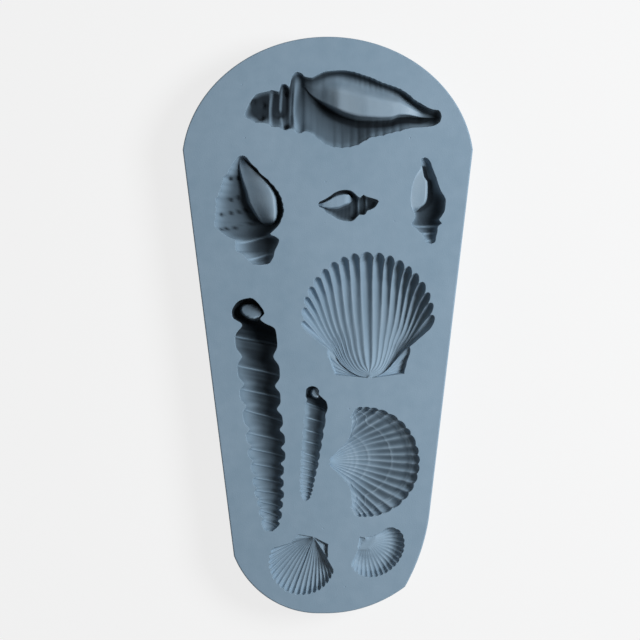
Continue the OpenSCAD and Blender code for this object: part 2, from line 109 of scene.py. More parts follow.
def ease(values: Array) -> Array:
    """Returns a smooth step from 0 to 1 over the range 0 to 1."""
    held = np.clip(values, 0, 1)
    return held * held * (3 - 2 * held)


def hump(distance: Array, width: float) -> Array:
    """Returns a round hump of height 1 that fades out over about twice the width."""
    return np.exp(-((distance / width) ** 2))


def ramp(values: Array, span: Pair) -> Array:
    """Returns a smooth step from 0 to 1, from a pair's first value on and as long as its second."""
    return ease((values - span[0]) / span[1])


def between(values: Array, start: float, end: float, fade: float) -> Array:
    """Returns 1 between two values and 0 outside them, with soft ends."""
    return ease((values - start) * fade) * ease((end - values) * fade)


def curve(table: Table, column: int, places: Array) -> Array:
    """Reads a column of a table as a smooth curve with no overshoot.

    Args:
        table: Rows in the order of their first value, which is the place.
        column: The column to read.
        places: Where to read it.

    Returns:
        The value at each place, held at the ends of the table.
    """
    x = np.array([row[0] for row in table], float)
    y = np.array([row[column] for row in table], float)
    gaps = np.diff(x)
    slopes = np.diff(y) / gaps
    tangents = np.zeros_like(y)
    rising = slopes[1:] * slopes[:-1] > 0
    before, after = slopes[:-1][rising], slopes[1:][rising]
    tangents[1:-1][rising] = 2 * after * before / (after + before)
    k = np.clip(np.searchsorted(x, places) - 1, 0, len(gaps) - 1)
    t = np.clip((places - x[k]) / gaps[k], 0, 1)
    start = (1 + 2 * t) * (1 - t) ** 2 * y[k] + t * (1 - t) ** 2 * gaps[k] * tangents[k]
    end = t * t * (3 - 2 * t) * y[k + 1] + t * t * (t - 1) * gaps[k] * tangents[k + 1]
    return start + end


def inside(loop: Array, points: Array) -> Array:
    """Tells which points lie inside a closed loop.

    Args:
        loop: The loop's points in order, two columns.
        points: The points to test, two columns.

    Returns:
        One truth value for each point.
    """
    x, y = points[:, :1], points[:, 1:]
    x0, y0 = loop[:, 0], loop[:, 1]
    x1, y1 = np.roll(x0, -1), np.roll(y0, -1)
    spans = (y0 > y) != (y1 > y)
    rise = np.where(y1 == y0, 1, y1 - y0)
    crossings = spans & (x < x0 + (y - y0) * (x1 - x0) / rise)
    return crossings.sum(axis=1) % 2 == 1


def outward(loop: Array) -> Array:
    """Gives the outward direction at each point of a counter-clockwise loop.

    Args:
        loop: The loop's points in order, two columns.

    Returns:
        One direction for each point, of such a length that the loop moved by it stays parallel.
    """
    ways = np.roll(loop, -1, axis=0) - loop
    ways /= np.maximum(np.linalg.norm(ways, axis=1, keepdims=True), SHORTEST)
    after = np.stack([ways[:, 1], -ways[:, 0]], axis=1)
    before = np.roll(after, 1, axis=0)
    cosine = (after * before).sum(axis=1, keepdims=True)
    return (after + before) / np.maximum(1 + cosine, CORNER_LIMIT)


def untangle(loop: Array, reach: int = 8) -> Array:
    """Draws each short run of a loop that crosses itself together to its crossing.

    Args:
        loop: The loop's points in order, two columns.
        reach: The longest run to look for, in points.

    Returns:
        The loop, with as many points.
    """
    points, n = loop.copy(), len(loop)
    for k in range(n):
        for gap in range(reach, 1, -1):
            ends = [points[(k + step) % n] for step in (0, 1, gap, gap + 1)]
            crossing = geometry.intersect_line_line_2d(*(Vector(end) for end in ends))
            if crossing is not None:
                points[[(k + step) % n for step in range(1, gap + 1)]] = crossing
                break
    return points


class Draft:
    """Points and faces of one mesh, gathered patch by patch."""

    def __init__(self) -> None:
        """Starts with no points."""
        self.points: list[Array] = []
        self.paint: list[Array] = []
        self.stain: list[Array] = []
        self.faces: list[tuple[int, ...]] = []
        self.flat: list[bool] = []
        self.count = 0

    def add_points(self, points: Array, paint: Array | float = 0.0, stain: Array | float = 0.0) -> Array:
        """Adds points.

        Args:
            points: Three columns, in millimetres.
            paint: How much of the smooth core's pale finish, or of the painted highlight on a crest, each
                point has, from 0 to 1.
            stain: How much painted shade darkens each point, from 0 to 1.

        Returns:
            The indexes of the new points.
        """
        start = self.count
        self.points.append(points)
        self.paint.append(np.broadcast_to(np.asarray(paint, float), (len(points),)))
        self.stain.append(np.broadcast_to(np.asarray(stain, float), (len(points),)))
        self.count += len(points)
        return np.arange(start, self.count)

    def add_faces(self, faces: Array | list[tuple[int, ...]], flat: bool = False) -> None:
        """Adds faces.

        Args:
            faces: The indexes of each face's points.
            flat: Whether they are shaded flat.
        """
        listed = faces.tolist() if isinstance(faces, np.ndarray) else faces
        self.faces.extend(tuple(face) for face in listed)
        self.flat.extend([flat] * len(listed))

    def add_grid(self, grid: Array) -> None:
        """Adds the quads of a grid of indexes."""
        quads = np.stack([grid[:-1, :-1], grid[1:, :-1], grid[1:, 1:], grid[:-1, 1:]], axis=-1)
        self.add_faces(quads.reshape(-1, 4))

    def add_band(self, first: Array, second: Array) -> None:
        """Adds the quads between two closed loops of as many points."""
        quads = np.stack([first, np.roll(first, -1), np.roll(second, -1), second], axis=-1)
        self.add_faces(quads)

    def add_fan(self, tip: int, row: Array) -> None:
        """Adds the triangles between a tip and a row of points."""
        self.add_faces([(tip, int(a), int(b)) for a, b in zip(row[:-1], row[1:])])

    def make(self, name: str) -> bpy.types.Object:
        """Makes the mesh object, in metres, with the core's paint and painted highlight, and the painted
        shade, as attributes.

        Args:
            name: The object's name.

        Returns:
            The new object, linked to the scene.
        """
        points = np.concatenate(self.points) * METRES
        mesh = bpy.data.meshes.new(name)
        mesh.from_pydata(points.tolist(), [], self.faces)
        mesh.polygons.foreach_set("use_smooth", [not flat for flat in self.flat])
        for layer, values in ((Layer.PALE_CORE_AND_HIGHLIGHT, self.paint), (Layer.PAINTED_SHADE, self.stain)):
            attribute = mesh.attributes.new(layer.value, "FLOAT", "POINT")
            attribute.data.foreach_set("value", np.concatenate(values))
        work = bmesh.new()
        work.from_mesh(mesh)
        bmesh.ops.remove_doubles(work, verts=work.verts, dist=WELD_DISTANCE)
        bmesh.ops.recalc_face_normals(work, faces=work.faces)
        work.to_mesh(mesh)
        work.free()
        mesh.update()
        piece = bpy.data.objects.new(name, mesh)
        bpy.context.scene.collection.objects.link(piece)
        return piece


@dataclass(frozen=True)
class Slab:
    """The block that the cavities lie in.

    Its size comes from the frame, and the corners, swells and rise follow the outline of the solid. The
    corners are shares of the half width and the half length.
    """

    low: tuple[float, float, float]
    high: tuple[float, float, float]
    left_tail: Pair = (-0.647, -0.801)
    foot: Pair = (-0.04, -1.0)
    heel: Pair = (0.532, -0.908)
    right_tail: Pair = (0.699, -0.662)
    left_tail_swell: float = 5.2
    foot_swell: float = 2.3
    right_tail_swell: float = 1.1
    crown_rise: float = 0.447
    crown_start: float = 7.0
    crown_steps: int = 120
    tail_steps: int = 36
    side_step: float = 2.0
    edge_radius: float = 0.45
    edge_steps: int = 4
    face_step: float = 4.0
    face_margin: float = 1.2
    least_area: float = 1e-9
    closeness: float = 1e-5

    @property
    def half_width(self) -> float:
        """Half the width across the shoulders."""
        return (self.high[0] - self.low[0]) / 2

    @property
    def half_length(self) -> float:
        """Half the length."""
        return (self.high[1] - self.low[1]) / 2

    @property
    def top(self) -> float:
        """Height of the face."""
        return self.high[2]

    def place(self, shares: Pair) -> Array:
        """Returns a point of the face from its shares of the half width and the half length."""
        return np.array([shares[0] * self.half_width, shares[1] * self.half_length])

    def arc(self, start: Array, end: Array, swell: float) -> Array:
        """Draws an arc.

        Args:
            start: Its first point.
            end: Its last point.
            swell: How far it stands out of its chord.

        Returns:
            Its points, without the last.
        """
        chord = np.linalg.norm(end - start)
        radius = (chord * chord / 4 + swell * swell) / (2 * swell)
        along = (end - start) / chord
        out = np.array([along[1], -along[0]])
        half = math.asin(chord / 2 / radius)
        centre = (start + end) / 2 - out * (radius - swell)
        angles = np.linspace(-half, half, self.tail_steps, endpoint=False)[:, None]
        return centre + radius * (np.sin(angles) * along + np.cos(angles) * out)

    def outline(self) -> Array:
        """Draws the outline, with its straight sides divided.

        Returns:
            The points in order, counter-clockwise from the tail's left corner.
        """
        rise = self.crown_rise * self.half_length
        angles = np.radians(np.linspace(self.crown_start, 180 - self.crown_start, self.crown_steps))
        half = self.half_width / math.cos(math.radians(self.crown_start))
        crown = np.stack([half * np.cos(angles), self.half_length - rise + rise * np.sin(angles)], axis=1)
        left_tail, foot = self.place(self.left_tail), self.place(self.foot)
        heel, right_tail = self.place(self.heel), self.place(self.right_tail)
        return np.concatenate([
            self.arc(left_tail, foot, self.left_tail_swell),
            self.arc(foot, heel, self.foot_swell),
            self.arc(heel, right_tail, self.right_tail_swell),
            self.line(right_tail, crown[0]),
            crown,
            self.line(crown[-1], left_tail)[1:],
        ])

    def line(self, start: Array, end: Array) -> Array:
        """Divides a straight side.

        Args:
            start: Its first point.
            end: Its last point.

        Returns:
            Its points, without the last.
        """
        steps = int(np.linalg.norm(end - start) / self.side_step)
        shares = np.linspace(0, 1, steps, endpoint=False)[:, None]
        return mix(start, end, shares)

    def build(self, draft: Draft, holes: list[tuple[Array, Array]]) -> None:
        """Adds the walls, the rounded edges, the underside and the face with its holes.

        Args:
            draft: The mesh to add to.
            holes: The loop of each hole in the face, as indexes and as points of two columns.
        """
        loop = self.outline()
        inner = outward(loop)
        turns = np.linspace(0, math.pi / 2, self.edge_steps + 1)
        ring_shapes = [(1 - math.cos(turn), self.high[2], -1 + math.sin(turn)) for turn in turns[::-1]]
        ring_shapes += [(1 - math.cos(turn), self.low[2], 1 - math.sin(turn)) for turn in turns]
        rings = []
        for step_in, level, drop in ring_shapes:
            flat = loop - inner * step_in * self.edge_radius
            height = np.full(len(loop), level + drop * self.edge_radius)
            rings.append(draft.add_points(np.column_stack([flat, height])))
        for first, second in zip(rings[:-1], rings[1:]):
            draft.add_band(first, second)
        rim = loop - inner * self.edge_radius
        self.fill(draft, [(rings[0], rim), *holes], self.high[2])
        self.fill(draft, [(rings[-1], rim)], self.low[2])

    def fill(self, draft: Draft, loops: list[tuple[Array, Array]], level: float) -> None:
        """Adds a flat sheet inside the first loop and outside the others, on shared points.

        Args:
            draft: The mesh to add to.
            loops: The sheet's border and then its holes, as indexes and as points of two columns.
            level: The height of the sheet.
        """
        known = np.concatenate([indexes for indexes, _ in loops])
        outlines = [points for _, points in loops]
        edges, start = [], 0
        for indexes, _ in loops:
            n = len(indexes)
            edges += [(start + k, start + (k + 1) % n) for k in range(n)]
            start += n
        spread = self.spread(outlines)
        added = draft.add_points(np.column_stack([spread, np.full(len(spread), level)]))
        known = np.concatenate([known, added])
        coords = np.concatenate([*outlines, spread])
        vectors = [Vector(point) for point in coords.tolist()]
        result = geometry.delaunay_2d_cdt(vectors, edges, [], 0, self.closeness)
        origins = np.array([source[0] for source in result[3]])
        triangles = origins[np.array([tuple(face) for face in result[2]])]
        corners = coords[triangles]
        (x1, y1), (x2, y2) = (corners[:, 1] - corners[:, 0]).T, (corners[:, 2] - corners[:, 0]).T
        keep = self.covers(outlines, corners.mean(axis=1)) & (np.abs(x1 * y2 - x2 * y1) > self.least_area)
        draft.add_faces(known[triangles[keep]], flat=True)

    def covers(self, loops: list[Array], points: Array) -> Array:
        """Tells which points lie on the sheet.

        Args:
            loops: The points of the sheet's border and then those of its holes.
            points: The points to test, two columns.

        Returns:
            One truth value for each point.
        """
        keep = inside(loops[0], points)
        for hole in loops[1:]:
            keep &= ~inside(hole, points)
        return keep

    def spread(self, loops: list[Array]) -> Array:
        """Spreads points evenly over the sheet, clear of its loops.

        Args:
            loops: The points of the sheet's border and then those of its holes.

        Returns:
            The new points, two columns.
        """
        rows = np.arange(-self.half_length, self.half_length, self.face_step * math.sqrt(3) / 2)
        columns = np.arange(-self.half_width, self.half_width, self.face_step)
        x, y = np.meshgrid(columns, rows)
        x = x + (np.arange(len(rows)) % 2)[:, None] * self.face_step / 2
        points = np.column_stack([x.ravel(), y.ravel()])
        border = np.concatenate(loops)
        nearest = np.array([np.linalg.norm(border - point, axis=1).min() for point in points])
        return points[self.covers(loops, points) & (nearest > self.face_margin)]


@dataclass(frozen=True)
class Relief:
    """Grid of a cavity's surface.

    It holds the places along and across the cavity's axis, the depth under the face, the core's finish or the
    painted highlight on crests, and the painted shade. A cavity with ends closes in a point at both; one
    without has its border all round the grid.
    """

    along: Array
    across: Array
    drop: Array
    core: Array
    stain: Array
    ends: tuple[Pair, ...] = ()


@dataclass(frozen=True)
class Hollow(ABC):
    """A hollow in the face, set in its place by the shares of the half sizes and by the turn of its axis."""

    name: str
    spot: Pair
    turn: float
    depth: float

    @abstractmethod
    def carve(self, draft: Draft, slab: Slab) -> tuple[Array, Array]:
        """Adds the hollow's surface, and returns its loop on the face as indexes and as points."""

    def set_down(self, slab: Slab, along: Array, across: Array, drop: Array) -> Array:
        """Puts points of the hollow in their place in the slab.

        Args:
            slab: The slab.
            along: The places along the hollow's axis.
            across: The places across it.
            drop: The depth under the face.

        Returns:
            The points, three columns.
        """
        spot, angle = slab.place(self.spot), math.radians(self.turn)
        x = spot[0] + along * math.cos(angle) - across * math.sin(angle)
        y = spot[1] + along * math.sin(angle) + across * math.cos(angle)
        return np.column_stack([x.ravel(), y.ravel(), (slab.top - drop).ravel()])


@dataclass(frozen=True)
class Cavity(Hollow):
    """A shell's hollow, with a small rounded edge, and painted shade that darkens it more with its depth."""

    edge_radius: float = 0.14
    edge_steps: int = 3
    least_drop: float = 0.03
    # Depths over which the painted shade sets in, and its strength
    painted_shade_range: Pair = (0.2, 3.2)
    painted_shade_share: float = 0.93

    @abstractmethod
    def relief(self) -> Relief:
        """Returns the surface of the hollow."""

    def painted_shade_at(self, drop: Array) -> Array:
        """Returns how much painted shade the surface has at each depth."""
        start, end = self.painted_shade_range
        return self.painted_shade_share * ease((drop - start) / (end - start))

    def carve(self, draft: Draft, slab: Slab) -> tuple[Array, Array]:
        """Adds the cavity's surface and its rounded edge.

        Args:
            draft: The mesh to add to.
            slab: The slab that it lies in.

        Returns:
            The loop where the edge meets the face, as indexes and as points of two columns.
        """
        relief = self.relief()
        rows, columns = relief.drop.shape
        drop = np.maximum(relief.drop, self.least_drop) + self.edge_radius
        drop[:, 0] = drop[:, -1] = self.edge_radius
        if not relief.ends:
            drop[0] = drop[-1] = self.edge_radius
        points = self.set_down(slab, relief.along, relief.across, drop)
        grid = draft.add_points(points, relief.core.ravel(), relief.stain.ravel()).reshape(rows, columns)
        draft.add_grid(grid)
        if relief.ends:
            tips = self.set_down(slab, *np.array(relief.ends).T, np.full(2, self.edge_radius))
            first, last = draft.add_points(tips)
            draft.add_fan(first, grid[0])
            draft.add_fan(last, grid[-1][::-1])
            border = np.concatenate([[first], grid[:, 0], [last], grid[::-1, -1]])
        else:
            border = np.concatenate([grid[:-1, -1], grid[-1, :0:-1], grid[:0:-1, 0], grid[0, :-1]])
        return self.round_edge(draft, slab, border)

    def round_edge(self, draft: Draft, slab: Slab, border: Array) -> tuple[Array, Array]:
        """Adds the small fillet between the cavity's wall and the face.

        Args:
            draft: The mesh to add to.
            slab: The slab that the cavity lies in.
            border: The indexes of the points round the cavity's surface.

        Returns:
            The loop where the fillet meets the face, as indexes and as points of two columns.
        """
        points = np.concatenate(draft.points)[border, :2]
        x, y = points.T
        area = (x * np.roll(y, -1) - np.roll(x, -1) * y).sum()
        if area < 0:
            border, points = border[::-1], points[::-1]
        out = outward(points)
        ring = border
        for turn in np.linspace(0, math.pi / 2, self.edge_steps + 1)[1:]:
            flat = untangle(points + out * self.edge_radius * (1 - math.cos(turn)))
            height = np.full(len(points), slab.top - self.edge_radius * (1 - math.sin(turn)))
            following = draft.add_points(np.column_stack([flat, height]))
            draft.add_band(ring, following)
            ring = following
        return ring, flat


@dataclass(frozen=True)
class Cord:
    """Raised line across a cavity, where the shell had a suture.

    The line's rows are the place across and the place along, as shares of the width and the length.
    """

    line: Table
    width: float
    height: float
    # Painted shade taken off the raised line: a painted highlight where it stands up into the light
    paleness: float = 0.5


@dataclass(frozen=True)
class Nodule:
    """Pit in a cavity's floor, where the shell had a knob."""

    along: float
    across: float
    radius: float
    depth: float

    def shape(self, s: Array, v: Array, length: float, width: float) -> Array:
        """Returns the pit as a hump of height 1, over places that are shares of a length and a width."""
        return hump(np.hypot((s - self.along) * length, (v - self.across) * width), self.radius)


@dataclass(frozen=True)
class EdgeWave:
    """Small points along one edge of a cavity, between two places along its length."""

    side: Side
    pitch: float
    height: float
    start: float = 0.0
    end: float = 1.0


@dataclass(frozen=True)
class Riblets:
    """Fine waves along a cavity's body side, between two places along its length."""

    pitch: float
    height: float
    start: float = 0.0
    end: float = 1.0


@dataclass(frozen=True)
class CoiledShell(Cavity):
    """Cavity of a shell that lies on its mouth, with the smooth core that filled the mouth.

    Section rows hold the share of the length, both edges as shares of the width and the share of the depth.
    Core rows hold the share of the length, both feet as shares of the width and the share of the depth
    filled. A ramp is where something sets in and over what length, and an onset is how fast something does
    with the core's height.
    """

    length: float = 1.0
    width: float = 1.0
    sections: Table = ()
    ends: Pair = (0.0, 0.0)
    cores: Table = ()
    cliff: Side = Side.LEFT
    body: Side = Side.LEFT
    cords: tuple[Cord, ...] = ()
    nodules: tuple[Nodule, ...] = ()
    riblets: tuple[Riblets, ...] = ()
    edge_waves: tuple[EdgeWave, ...] = ()
    rows: int = 150
    lip_columns: int = 12
    core_columns: int = 24
    body_columns: int = 24
    end_crowding: float = 0.4
    first_row: float = 0.003
    lip_share: float = 0.35
    lip_edge: float = 0.12
    lip_step: float = 0.0
    flat_lip: bool = False
    cliff_share: float = 0.08
    steepness: float = 0.4
    body_steepness: float = 0.4
    body_ramp: Pair = (0.4, 0.4)
    body_level: float = 0.7
    body_rise: float = 2.0
    body_hold: float = 0.0
    body_onset: float = 3.0
    # Share of the painted shade taken off the shallower body side
    body_clearing: float = 0.0
    # Painted shadow in the slot at the foot of the core's cliff, where the cliff's shadow falls
    slot_painted_shadow: float = 0.9
    slot_width: float = 0.9
    slot_depth: float = 0.0
    slot_offset: float = 0.4
    slot_onset: float = 2.0
    paint_power: float = 0.8
    paint_share: float = 1.0
    paint_onset: float = 1.35
    # How the raised core sheds painted shade, and how much of it, and of the pale paint, its cliff's nose
    # keeps, facing away from the light
    clear_power: float = 1.0
    nose_power: float = 0.0
    # Painted shade added on the spire
    spire_painted_shade: float = 0.0
    spire_ramp: Pair = (0.74, 0.08)
    fade_drop: float = 1.2
    detail_onset: float = 4.0
    # Painted shade added in the knobs' pits
    knob_painted_shade: float = 0.7
    point_sharpness: float = 0.7
    point_fade: float = 15.0
    riblet_fade: float = 12.0

    def relief(self) -> Relief:
        """Lofts the hollow with its core, sutures, knobs and riblets, and paints shade into its colour.

        Returns:
            The surface, closed in a point at both ends.
        """
        s = self.stations()
        left = self.edge(1, s) - self.edge_points(Side.RIGHT, s)
        right = self.edge(2, s) + self.edge_points(Side.LEFT, s)
        near, far, fill = (curve(self.cores, k, s) for k in (1, 2, 3))
        v, core, nose = self.crossing(left, near, far, right)
        body = self.body_share(v, left, near, far, right)
        base = self.floor(s, np.clip((v - left) / (right - left), 0, 1))
        base = base * mix(1, self.body_level, body * np.maximum(ease(fill * self.body_onset), self.body_hold))
        slot = hump((v - far) * self.width - self.slot_offset * self.slot_width, self.slot_width)
        slot = slot * ease(fill * self.slot_onset) * (1 - core)
        drop = base * (1 - fill * core) + self.slot_depth * slot
        detail, mark = self.surface_detail(s, v, drop)
        drop = drop + detail * (1 - core * ease(fill * self.detail_onset))
        # The core is painted pale but its cliff's nose keeps painted shade. Painted shade grows with depth,
        # is lighter on the body side, is darkest in the slot where the cliff's shadow falls and is added on
        # the spire; the core and the pale cords shed it and the knobs' pits get more.
        clean = nose**self.nose_power * ease(fill * self.paint_onset)
        stain = self.painted_shade_at(drop) * (1 - self.body_clearing * body) + self.slot_painted_shadow * slot
        stain = stain + self.spire_painted_shade * ramp(s, self.spire_ramp) * ease(drop)
        stain = np.clip(stain * (1 - core**self.clear_power * clean) - mark, 0, 1)
        smooth = self.paint_share * core**self.paint_power * clean
        ends = ((0.0, self.ends[0] * self.width), (self.length, self.ends[1] * self.width))
        along = np.broadcast_to(s * self.length, base.shape)
        return Relief(along, v * self.width, drop, smooth, stain, ends)

    def stations(self) -> Array:
        """Gives the rows' places along the length, a little crowded at both ends.

        Returns:
            The places as shares, in one column.
        """
        even = np.linspace(0, 1, self.rows)
        crowded = (1 - np.cos(math.pi * even)) / 2
        return mix(self.first_row, 1 - self.first_row, mix(even, crowded, self.end_crowding))[:, None]

    def crossing(self, left: Array, near: Array, far: Array, right: Array) -> tuple[Array, Array, Array]:
        """Divides each row into the lip, the core and the body.

        Args:
            left: The left edge in each row, as a share of the width.
            near: The core's left foot.
            far: The core's right foot.
            right: The right edge.

        Returns:
            The places across, the core's height from 0 to 1 and the height of its cliff alone.
        """
        k = np.linspace(0, 1, self.lip_columns + 1)[:-1]
        w = np.linspace(0, 1, self.core_columns + 1)
        m = np.linspace(0, 1, self.body_columns + 1)[1:]
        v = np.concatenate([
            mix(left, near, 1 - np.cos(math.pi / 2 * k)),
            mix(near, far, w),
            mix(far, right, np.sin(math.pi / 2 * m)),
        ], axis=1)
        core, nose = np.zeros_like(v), np.ones_like(v)
        middle = slice(self.lip_columns, -self.body_columns)
        core[:, middle], nose[:, middle] = self.core_profile(w)
        if self.flat_lip:
            core[:, :self.lip_columns] = 1
        return v, core, nose

    def floor(self, s: Array, share: Array) -> Array:
        """Gives the depth that the hollow would have with no core.

        Args:
            s: The places along the length.
            share: The share of the way from the left edge to the right one.

        Returns:
            The depth at each point.
        """
        body_side = share if self.body is Side.LEFT else 1 - share
        steepness = mix(self.steepness, self.body_steepness, ramp(body_side, self.body_ramp))
        return self.depth * self.edge(3, s) * (4 * share * (1 - share)) ** steepness

    def edge_points(self, side: Side, s: Array) -> Array:
        """Gives how far the small points stand out of one edge.

        Args:
            side: The edge.
            s: The places along the length.

        Returns:
            The distance at each place, as a share of the width.
        """
        out = np.zeros_like(s)
        for wave in self.edge_waves:
            if wave.side is side:
                crest = 1 - np.abs(np.sin(math.pi * s * self.length / wave.pitch)) ** self.point_sharpness
                out = out + wave.height * crest * between(s, wave.start, wave.end, self.point_fade)
        return out / self.width

    def edge(self, column: int, s: Array) -> Array:
        """Reads a column of the sections, closed at both ends.

        Args:
            column: The column to read.
            s: The places along the length.

        Returns:
            The value at each place.
        """
        first, last = self.ends if column < 3 else (0.0, 0.0)
        closed = ((0.0, first, first, 0.0), *self.sections, (1.0, last, last, 0.0))
        return curve(closed, column, s)

    def body_share(self, v: Array, left: Array, near: Array, far: Array, right: Array) -> Array:
        """Tells how far each point is on the shallower body side.

        Args:
            v: The places across.
            left: The left edge in each row.
            near: The core's left foot.
            far: The core's right foot.
            right: The right edge.

        Returns:
            A share of 0 at the core and beyond it, rising to 1.
        """
        if self.body is Side.LEFT:
            return ease(self.body_rise * (v - far) / (right - far))
        return ease(self.body_rise * (near - v) / (near - left))

    def core_profile(self, w: Array) -> tuple[Array, Array]:
        """Gives the core's shape across it, a slow rise from the lip and a cliff on the other side.

        Args:
            w: The share of the way from the left foot to the right one.

        Returns:
            The core's height from 0 to 1, and the height of its cliff alone.
        """
        from_cliff = w if self.cliff is Side.RIGHT else 1 - w
        nose = np.sqrt(1 - (1 - np.clip(from_cliff / self.cliff_share, 0, 1)) ** 2)
        from_lip = 1 - from_cliff
        rise = mix(ease(from_lip / self.lip_share), ease(from_lip / self.lip_edge), self.lip_step)
        return (nose if self.flat_lip else nose * rise), nose

    def surface_detail(self, s: Array, v: Array, drop: Array) -> tuple[Array, Array]:
        """Gives the sutures, knobs and riblets.

        Args:
            s: The places along the length.
            v: The places across the width.
            drop: The depth without them.

        Returns:
            What they add to the depth, and how much painted shade they take off, which is less than 0 where
            the knobs' pits get more.
        """
        fade = np.clip(drop / self.fade_drop, 0, 1)
        detail, mark = np.zeros_like(drop), np.zeros_like(drop)
        for cord in self.cords:
            off = (s - curve(cord.line, 1, v)) * self.length
            detail -= cord.height * hump(off, cord.width) * fade
            mark += cord.paleness * hump(off, cord.width)
        for nodule in self.nodules:
            pit = nodule.shape(s, v, self.length, self.width)
            detail += nodule.depth * pit * fade
            mark -= self.knob_painted_shade * pit
        for wave in self.riblets:
            ripple = wave.height * np.cos(2 * math.pi * s * self.length / wave.pitch)
            detail += ripple * between(s, wave.start, wave.end, self.riblet_fade) * fade
        return detail, mark


@dataclass(frozen=True)
class AugerShell(Cavity):
    """Cavity of a slim shell with waists between its whorls and a thin raised line across each of them.

    Edge rows hold the share of the length, both edges as shares of the width and the share of the depth. The
    lines and the waists are places along the length, where they meet the left and the right edge. The mouth's
    oval holds its middle along and across, and half its size along and across.
    """

    length: float = 1.0
    width: float = 1.0
    edges: Table = ()
    lines_left: tuple[float, ...] = ()
    lines_right: tuple[float, ...] = ()
    waists_left: tuple[float, ...] = ()
    waists_right: tuple[float, ...] = ()
    waist_depths: Pair = (0.12, 0.05)
    waist_sharpness: float = 0.38
    line_bend: float = 0.5
    steepness: float = 0.34
    swell: float = 0.1
    chamber: float = 0.5
    chamber_steepness: float = 0.2
    chamber_fade: float = 14.0
    mouth: tuple[float, float, float, float] = (0.06, 0.0, 0.04, 0.2)
    mouth_turn: float = 0.3
    mouth_rim: Pair = (0.78, 0.3)
    mouth_tilt: float = 0.35
    mouth_fill: Pair = (0.5, 0.95)
    # Share of the pale paint on the mouth core's low side; it grows to full on the raised side as a painted
    # highlight
    mouth_clearing: float = 0.35
    # How much painted shade the raised lines shed, a painted highlight on them
    line_paleness: float = 0.7
    # Painted shade on the walls against the middle, and how it falls off towards the apex
    wall_painted_shade: float = 0.72
    painted_shade_from: float = 0.5
    painted_shade_fall: float = 0.5
    fall_ramp: Pair = (0.2, 0.9)
    # Painted shade taken off the left side, which faces the light: painted light
    left_clearing: float = 0.0
    left_share: float = 0.5
    clearing_ramp: Pair = (0.22, 0.2)
    cord_height: float = 0.34
    cord_width: float = 0.26
    cord_gap: float = 0.45
    groove_share: float = 0.5
    stria_share: float = 0.8
    striae: tuple[Pair, ...] = (
        (-0.75, 0.05), (-1.4, 0.07), (-2.1, 0.05), (-2.7, 0.06), (0.95, 0.05), (1.6, 0.06), (2.3, 0.04),
    )
    # How much painted shade the fine lines shed, a faint painted highlight
    stria_paleness: float = 0.14
    nodules: tuple[Nodule, ...] = ()
    first_row: float = 0.02
    last_row: float = 0.92
    mouth_rows: int = 44
    whorl_rows: int = 18
    apex_rows: int = 12
    mouth_crowding: float = 1.4
    crowding: float = 0.6
    columns: int = 44

    def relief(self) -> Relief:
        """Lofts the hollow with its waists, raised lines and core, and paints shade and highlights into its
        colour.

        Returns:
            The surface, whose rows follow the raised lines.
        """
        c = self.row_counts()[:, None]
        j = np.linspace(0, 1, self.columns + 1)
        bend = mix(j, ease(j), self.line_bend)
        s = mix(self.row_places(self.lines_left, c), self.row_places(self.lines_right, c), bend)
        left_waist, right_waist = self.waist(self.waists_left, s), self.waist(self.waists_right, s)
        left = curve(self.edges, 1, s) + left_waist
        right = curve(self.edges, 2, s) - right_waist
        v = mix(left, right, (1 - np.cos(math.pi * j)) / 2)
        share = np.clip((v - left) / (right - left), 0, 1)
        sunk = ease(1 - (c - 1) * self.chamber_fade)
        profile = (4 * share * (1 - share)) ** mix(self.steepness, self.chamber_steepness, sunk)
        narrowed = 1 - self.swell * (left_waist + right_waist) / (2 * self.waist_depths[0])
        base = self.depth * curve(self.edges, 3, s) * profile * (1 + self.chamber * sunk) * narrowed
        core, height, tilt = self.core_profile(s, v)
        drop = base * (1 - height)
        detail, mark = self.line_detail(c, s)
        drop = drop + detail * np.clip(drop, 0, 1) * (1 - core)
        for nodule in self.nodules:
            drop = drop + nodule.depth * nodule.shape(s, v, self.length, self.width)
        # The mouth's core is painted pale, palest on its raised side as a painted highlight. Painted shade
        # grows with depth, is lighter on the walls and full in the mouth's chamber; the core and the raised
        # lines shed it, it fades towards the apex, and the left side, which faces the light, keeps less of
        # it.
        clean = core * mix(self.mouth_clearing, 1, tilt**2)
        sunken = (profile - self.painted_shade_from) / (1 - self.painted_shade_from)
        stain = self.painted_shade_at(drop) * mix(mix(self.wall_painted_shade, 1, ease(sunken)), 1, sunk)
        stain = stain * (1 - clean) * (1 - self.line_paleness * mark)
        stain = stain * mix(1, self.painted_shade_fall, ramp(s, self.fall_ramp))
        left_side = 1 - ease(share / self.left_share)
        stain = stain * (1 - self.left_clearing * left_side * ramp(s, self.clearing_ramp))
        return Relief(s * self.length, v * self.width, drop, clean, stain, self.tips())

    def tips(self) -> tuple[Pair, Pair]:
        """Returns the points in which the hollow closes, between its edges."""
        rows = ((0.0, self.edges[0]), (self.length, self.edges[-1]))
        return tuple((along, (row[1] + row[2]) / 2 * self.width) for along, row in rows)

    def row_counts(self) -> Array:
        """Counts each row's place in whorls, crowded at the raised lines.

        Returns:
            The count for each row, which is whole at a raised line.
        """
        whorls = len(self.lines_left) + 1
        even = np.linspace(0, 1, self.mouth_rows, endpoint=False)
        opening = mix(self.first_row, 1, even**self.mouth_crowding)
        t = np.arange((whorls - 2) * self.whorl_rows) / self.whorl_rows
        middle = 1 + t - self.crowding * np.sin(2 * math.pi * t) / (2 * math.pi)
        closing = whorls - 1 + self.last_row * np.linspace(0, 1, self.apex_rows)
        return np.concatenate([opening, middle, closing])

